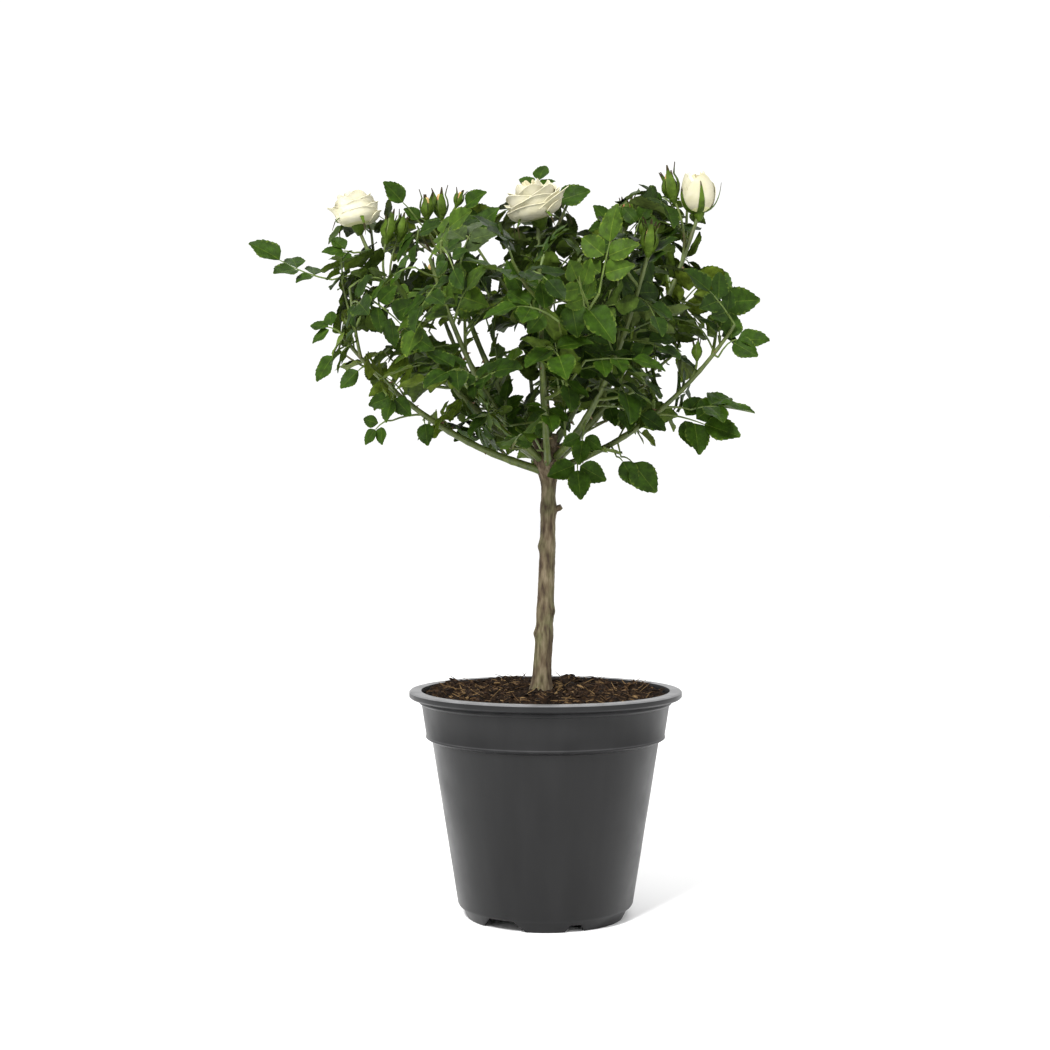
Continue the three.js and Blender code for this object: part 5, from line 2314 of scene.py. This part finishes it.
    @staticmethod
    def turn_of(axes: Vec, azimuth: float) -> float:
        """The angle round a bloom's axis that looks to an azimuth."""
        out = axes @ heading(azimuth)
        return degrees(atan2(out[1], out[0]))

    def axes_of(self, axis: Vec, turn: float) -> Vec:
        """Three axes as rows, the last one given."""
        across = turned_about(square_to(np.array((1.0, 0.2, 0)), axis), axis, turn)
        return np.stack((across, cross(axis, across), axis))

    def hip(self, root: Vec, axis: Vec, radius: float) -> None:
        """Add the green cup under a bloom or bud.

        Args:
            root: Where the bloom or bud sits.
            axis: Its axis.
            radius: Radius of the cup.
        """
        curve = twig_curve(root - axis * 1.6 * radius, axis, 2.4 * radius, 0)

        def cup(share: float) -> float:
            """The cup's radius at a share of its height."""
            return radius * (0.4 + 0.75 * sin(pi * min(0.62, 0.75 * share)) ** 1.3)

        self.green.add(*tube(curve, cup, 12, 8))

    def bloom(self, stem: Stem) -> None:
        """Add the bloom at a stem's tip.

        Args:
            stem: The stem.
        """
        head = self.head(stem)
        radius, height = head.size
        root, axis = self.seat(stem)
        axes = self.axes_of(axis, 40 * stem.index)
        full = head.opening is Opening.FULL
        self.hip(root, axis, 0.2 * radius + 1.2)
        for order, whorl in enumerate(self.whorls if full else self.half_open):
            for place in range(whorl.petals):
                turn = 360 * place / whorl.petals + order * GOLDEN_ANGLE + self.random.between(-9, 9)
                self.petal(root, axes, whorl, head.size, turn)
        if head.pointed_at is not None:
            turn = self.turn_of(axes, head.pointed_at)
            self.petal(root, axes, self.whorls[1], head.size, turn, True)
        for place in range(self.sepals):
            turn = 360 / self.sepals * place
            if full:
                lean = self.random.between(85, 125)
                self.sepal(root, axes, turn + 20, 0.2 * radius, 0.75 * height, 2.2, lean)
            else:
                turn = self.turn_of(axes, self.sepal_turn + turn)
                self.hugging_sepal(root, axes, head.size, turn, *self.sepal_reach[place])

    def bud(self, root: Vec, axis: Vec, size: float, open_share: float, turn: float) -> None:
        """Add one bud.

        Args:
            root: Where it sits.
            axis: Its axis.
            size: Its size, 1 for the largest.
            open_share: How much of its petals shows, from 0 to 1.
            turn: How it is turned about its axis.
        """
        radius, height = size * self.bud_radius, size * self.bud_height
        axes = self.axes_of(axis, turn)
        self.hip(root, axis, 0.55 * radius)
        body = twig_curve(root, axis, 0.86 * height, 0)

        def belly(share: float) -> float:
            """The bud's radius at a share of its height."""
            return radius * (0.14 + 0.8 * sin(pi * (0.12 + 0.83 * share) ** 0.8))

        points, faces = tube(body, belly, 12, 10)
        shown_from = root @ axis + (0.86 - open_share) * height
        shown = [points[list(face)].mean(0) @ axis > shown_from for face in faces]
        tip, closed = PetalTint.BUD_TIP.number, PetalTint.BUD.number
        self.petals.add(points, faces, [tip if shows else closed for shows in shown])
        for place in range(self.sepals):
            length = height * self.random.between(0.9, 1.25)
            turn = 360 / self.sepals * place
            self.sepal(root, axes, turn, 0.66 * radius, length, 3.0 * size, 5 + 18 * open_share)

    def build(self, stalks: Heap) -> None:
        """Model the blooms and buds and add the stalks of side buds to the twigs.

        Args:
            stalks: The heap of twigs.
        """
        stems = {stem.name: stem for stem in self.space.stems}
        for stem in stems.values():
            if self.head(stem).raised > 1:
                stalk = arched(stem.upper.tip, self.seat(stem)[0], 0)
                stalks.add(*tube(stalk, tapered(stem.TIP_RADIUS, stem.TIP_RADIUS), 7, 2))
            if stem.end is End.BLOOM:
                self.bloom(stem)
            elif stem.end is End.BUD:
                self.bud(*self.seat(stem), 1.0, 0.25, 31 * stem.index)
        for order, bud in enumerate(self.side_buds):
            root, tip = stems[bud.bough].upper.point(bud.at), np.array(bud.tip, float)
            bend = 0.5 * (root + tip) + 0.25 * np.linalg.norm(tip - root) * outwards(tip)
            curve = Curve(root, bend, tip)
            stalks.add(*tube(curve, tapered(1.0, 0.8), 6, 8))
            self.bud(tip, unit(curve.tangent(1) + UP), bud.size, bud.open_share, 47 * order)

    def dress(self) -> None:
        """Make the joined meshes of petals and of the green parts."""
        fit(self.petals.piece("petals", PetalTint.materials(), 45), Slot.FOLIAGE)
        fit(self.green.piece("sepals", SepalTint.materials(), 45), Slot.FOLIAGE)


# Studio

@dataclass(frozen=True)
class Lamp:
    """A square soft light: its place and side in metres and its power in watts."""

    name: str
    place: Triple
    side: float
    watts: float


@dataclass
class Studio:
    """Floor, light and camera."""

    image_size: float = 1050
    focal_pixels: float = 1728
    axis_column: float = 545.5
    horizon_row: float = 497.6
    sensor: float = 36
    floor_side: float = 60
    glow: float = 1.07
    lit: Triple = (0, 0, 0.3)
    lamps: tuple[Lamp, ...] = (
        Lamp("key", (-0.8, -1.75, 1.85), 0.55, 92),
        Lamp("fill", (1.6, -1.4, 1.0), 1.4, 10),
        Lamp("back", (0.4, 1.6, 1.8), 1.6, 10))

    def floor(self) -> None:
        """Lay the plain pale floor."""
        deselect()
        bpy.ops.mesh.primitive_plane_add(size=self.floor_side)
        floor = bpy.context.object
        floor.name = "studio_floor"
        floor.data.materials.append(PaleFloor().material())

    def light(self, lamp: Lamp) -> None:
        """Hang a light and turn it to the middle of the plant.

        Args:
            lamp: The light.
        """
        light = bpy.data.lights.new(lamp.name, "AREA")
        light.size = lamp.side
        light.energy = lamp.watts
        holder = bpy.data.objects.new(lamp.name, light)
        holder.location = lamp.place
        aim = Vector(self.lit) - Vector(lamp.place)
        holder.rotation_euler = aim.to_track_quat("-Z", "Y").to_euler()
        bpy.context.scene.collection.objects.link(holder)

    def camera(self) -> None:
        """Set the camera where the photograph was taken from."""
        lens = bpy.data.cameras.new("camera")
        lens.sensor_width = self.sensor
        lens.lens = self.focal_pixels / self.image_size * self.sensor
        holder = bpy.data.objects.new("camera", lens)
        middle = self.image_size / 2
        yaw = atan((self.axis_column - middle) / self.focal_pixels)
        pitch = atan((middle - self.horizon_row) / self.focal_pixels)
        holder.location = (0, -EYE_DISTANCE * MM, EYE_HEIGHT * MM)
        holder.rotation_euler = (pi / 2 - pitch, 0, yaw)
        bpy.context.scene.collection.objects.link(holder)
        bpy.context.scene.camera = holder

    def build(self) -> None:
        """Set up the studio."""
        self.camera()
        self.floor()
        world = bpy.data.worlds.new("studio")
        world.use_nodes = True
        sky = world.node_tree.nodes["Background"]
        sky.inputs["Color"].default_value = (1, 1, 1, 1)
        sky.inputs["Strength"].default_value = self.glow
        bpy.context.scene.world = world
        for lamp in self.lamps:
            self.light(lamp)
        bpy.context.scene.view_settings.view_transform = "Standard"


def main() -> None:
    """Build every piece in order."""
    logging.basicConfig(level=logging.INFO, format="%(message)s")
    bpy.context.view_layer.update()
    Studio().build()
    pot = Pot()
    pot.build()
    soil = Soil(pot)
    soil.build()
    trunk = Trunk(soil)
    trunk.build()
    stems = planned_stems()
    for index, stem in enumerate(stems):
        stem.lay(trunk, index)
    Boughs(stems).build()
    space = Space(stems, trunk)
    flowers = Flowers(space)
    foliage = Foliage(space)
    foliage.grow()
    flowers.build(foliage.twigs)
    foliage.dress()
    flowers.dress()


if __name__ == "__main__":
    main()
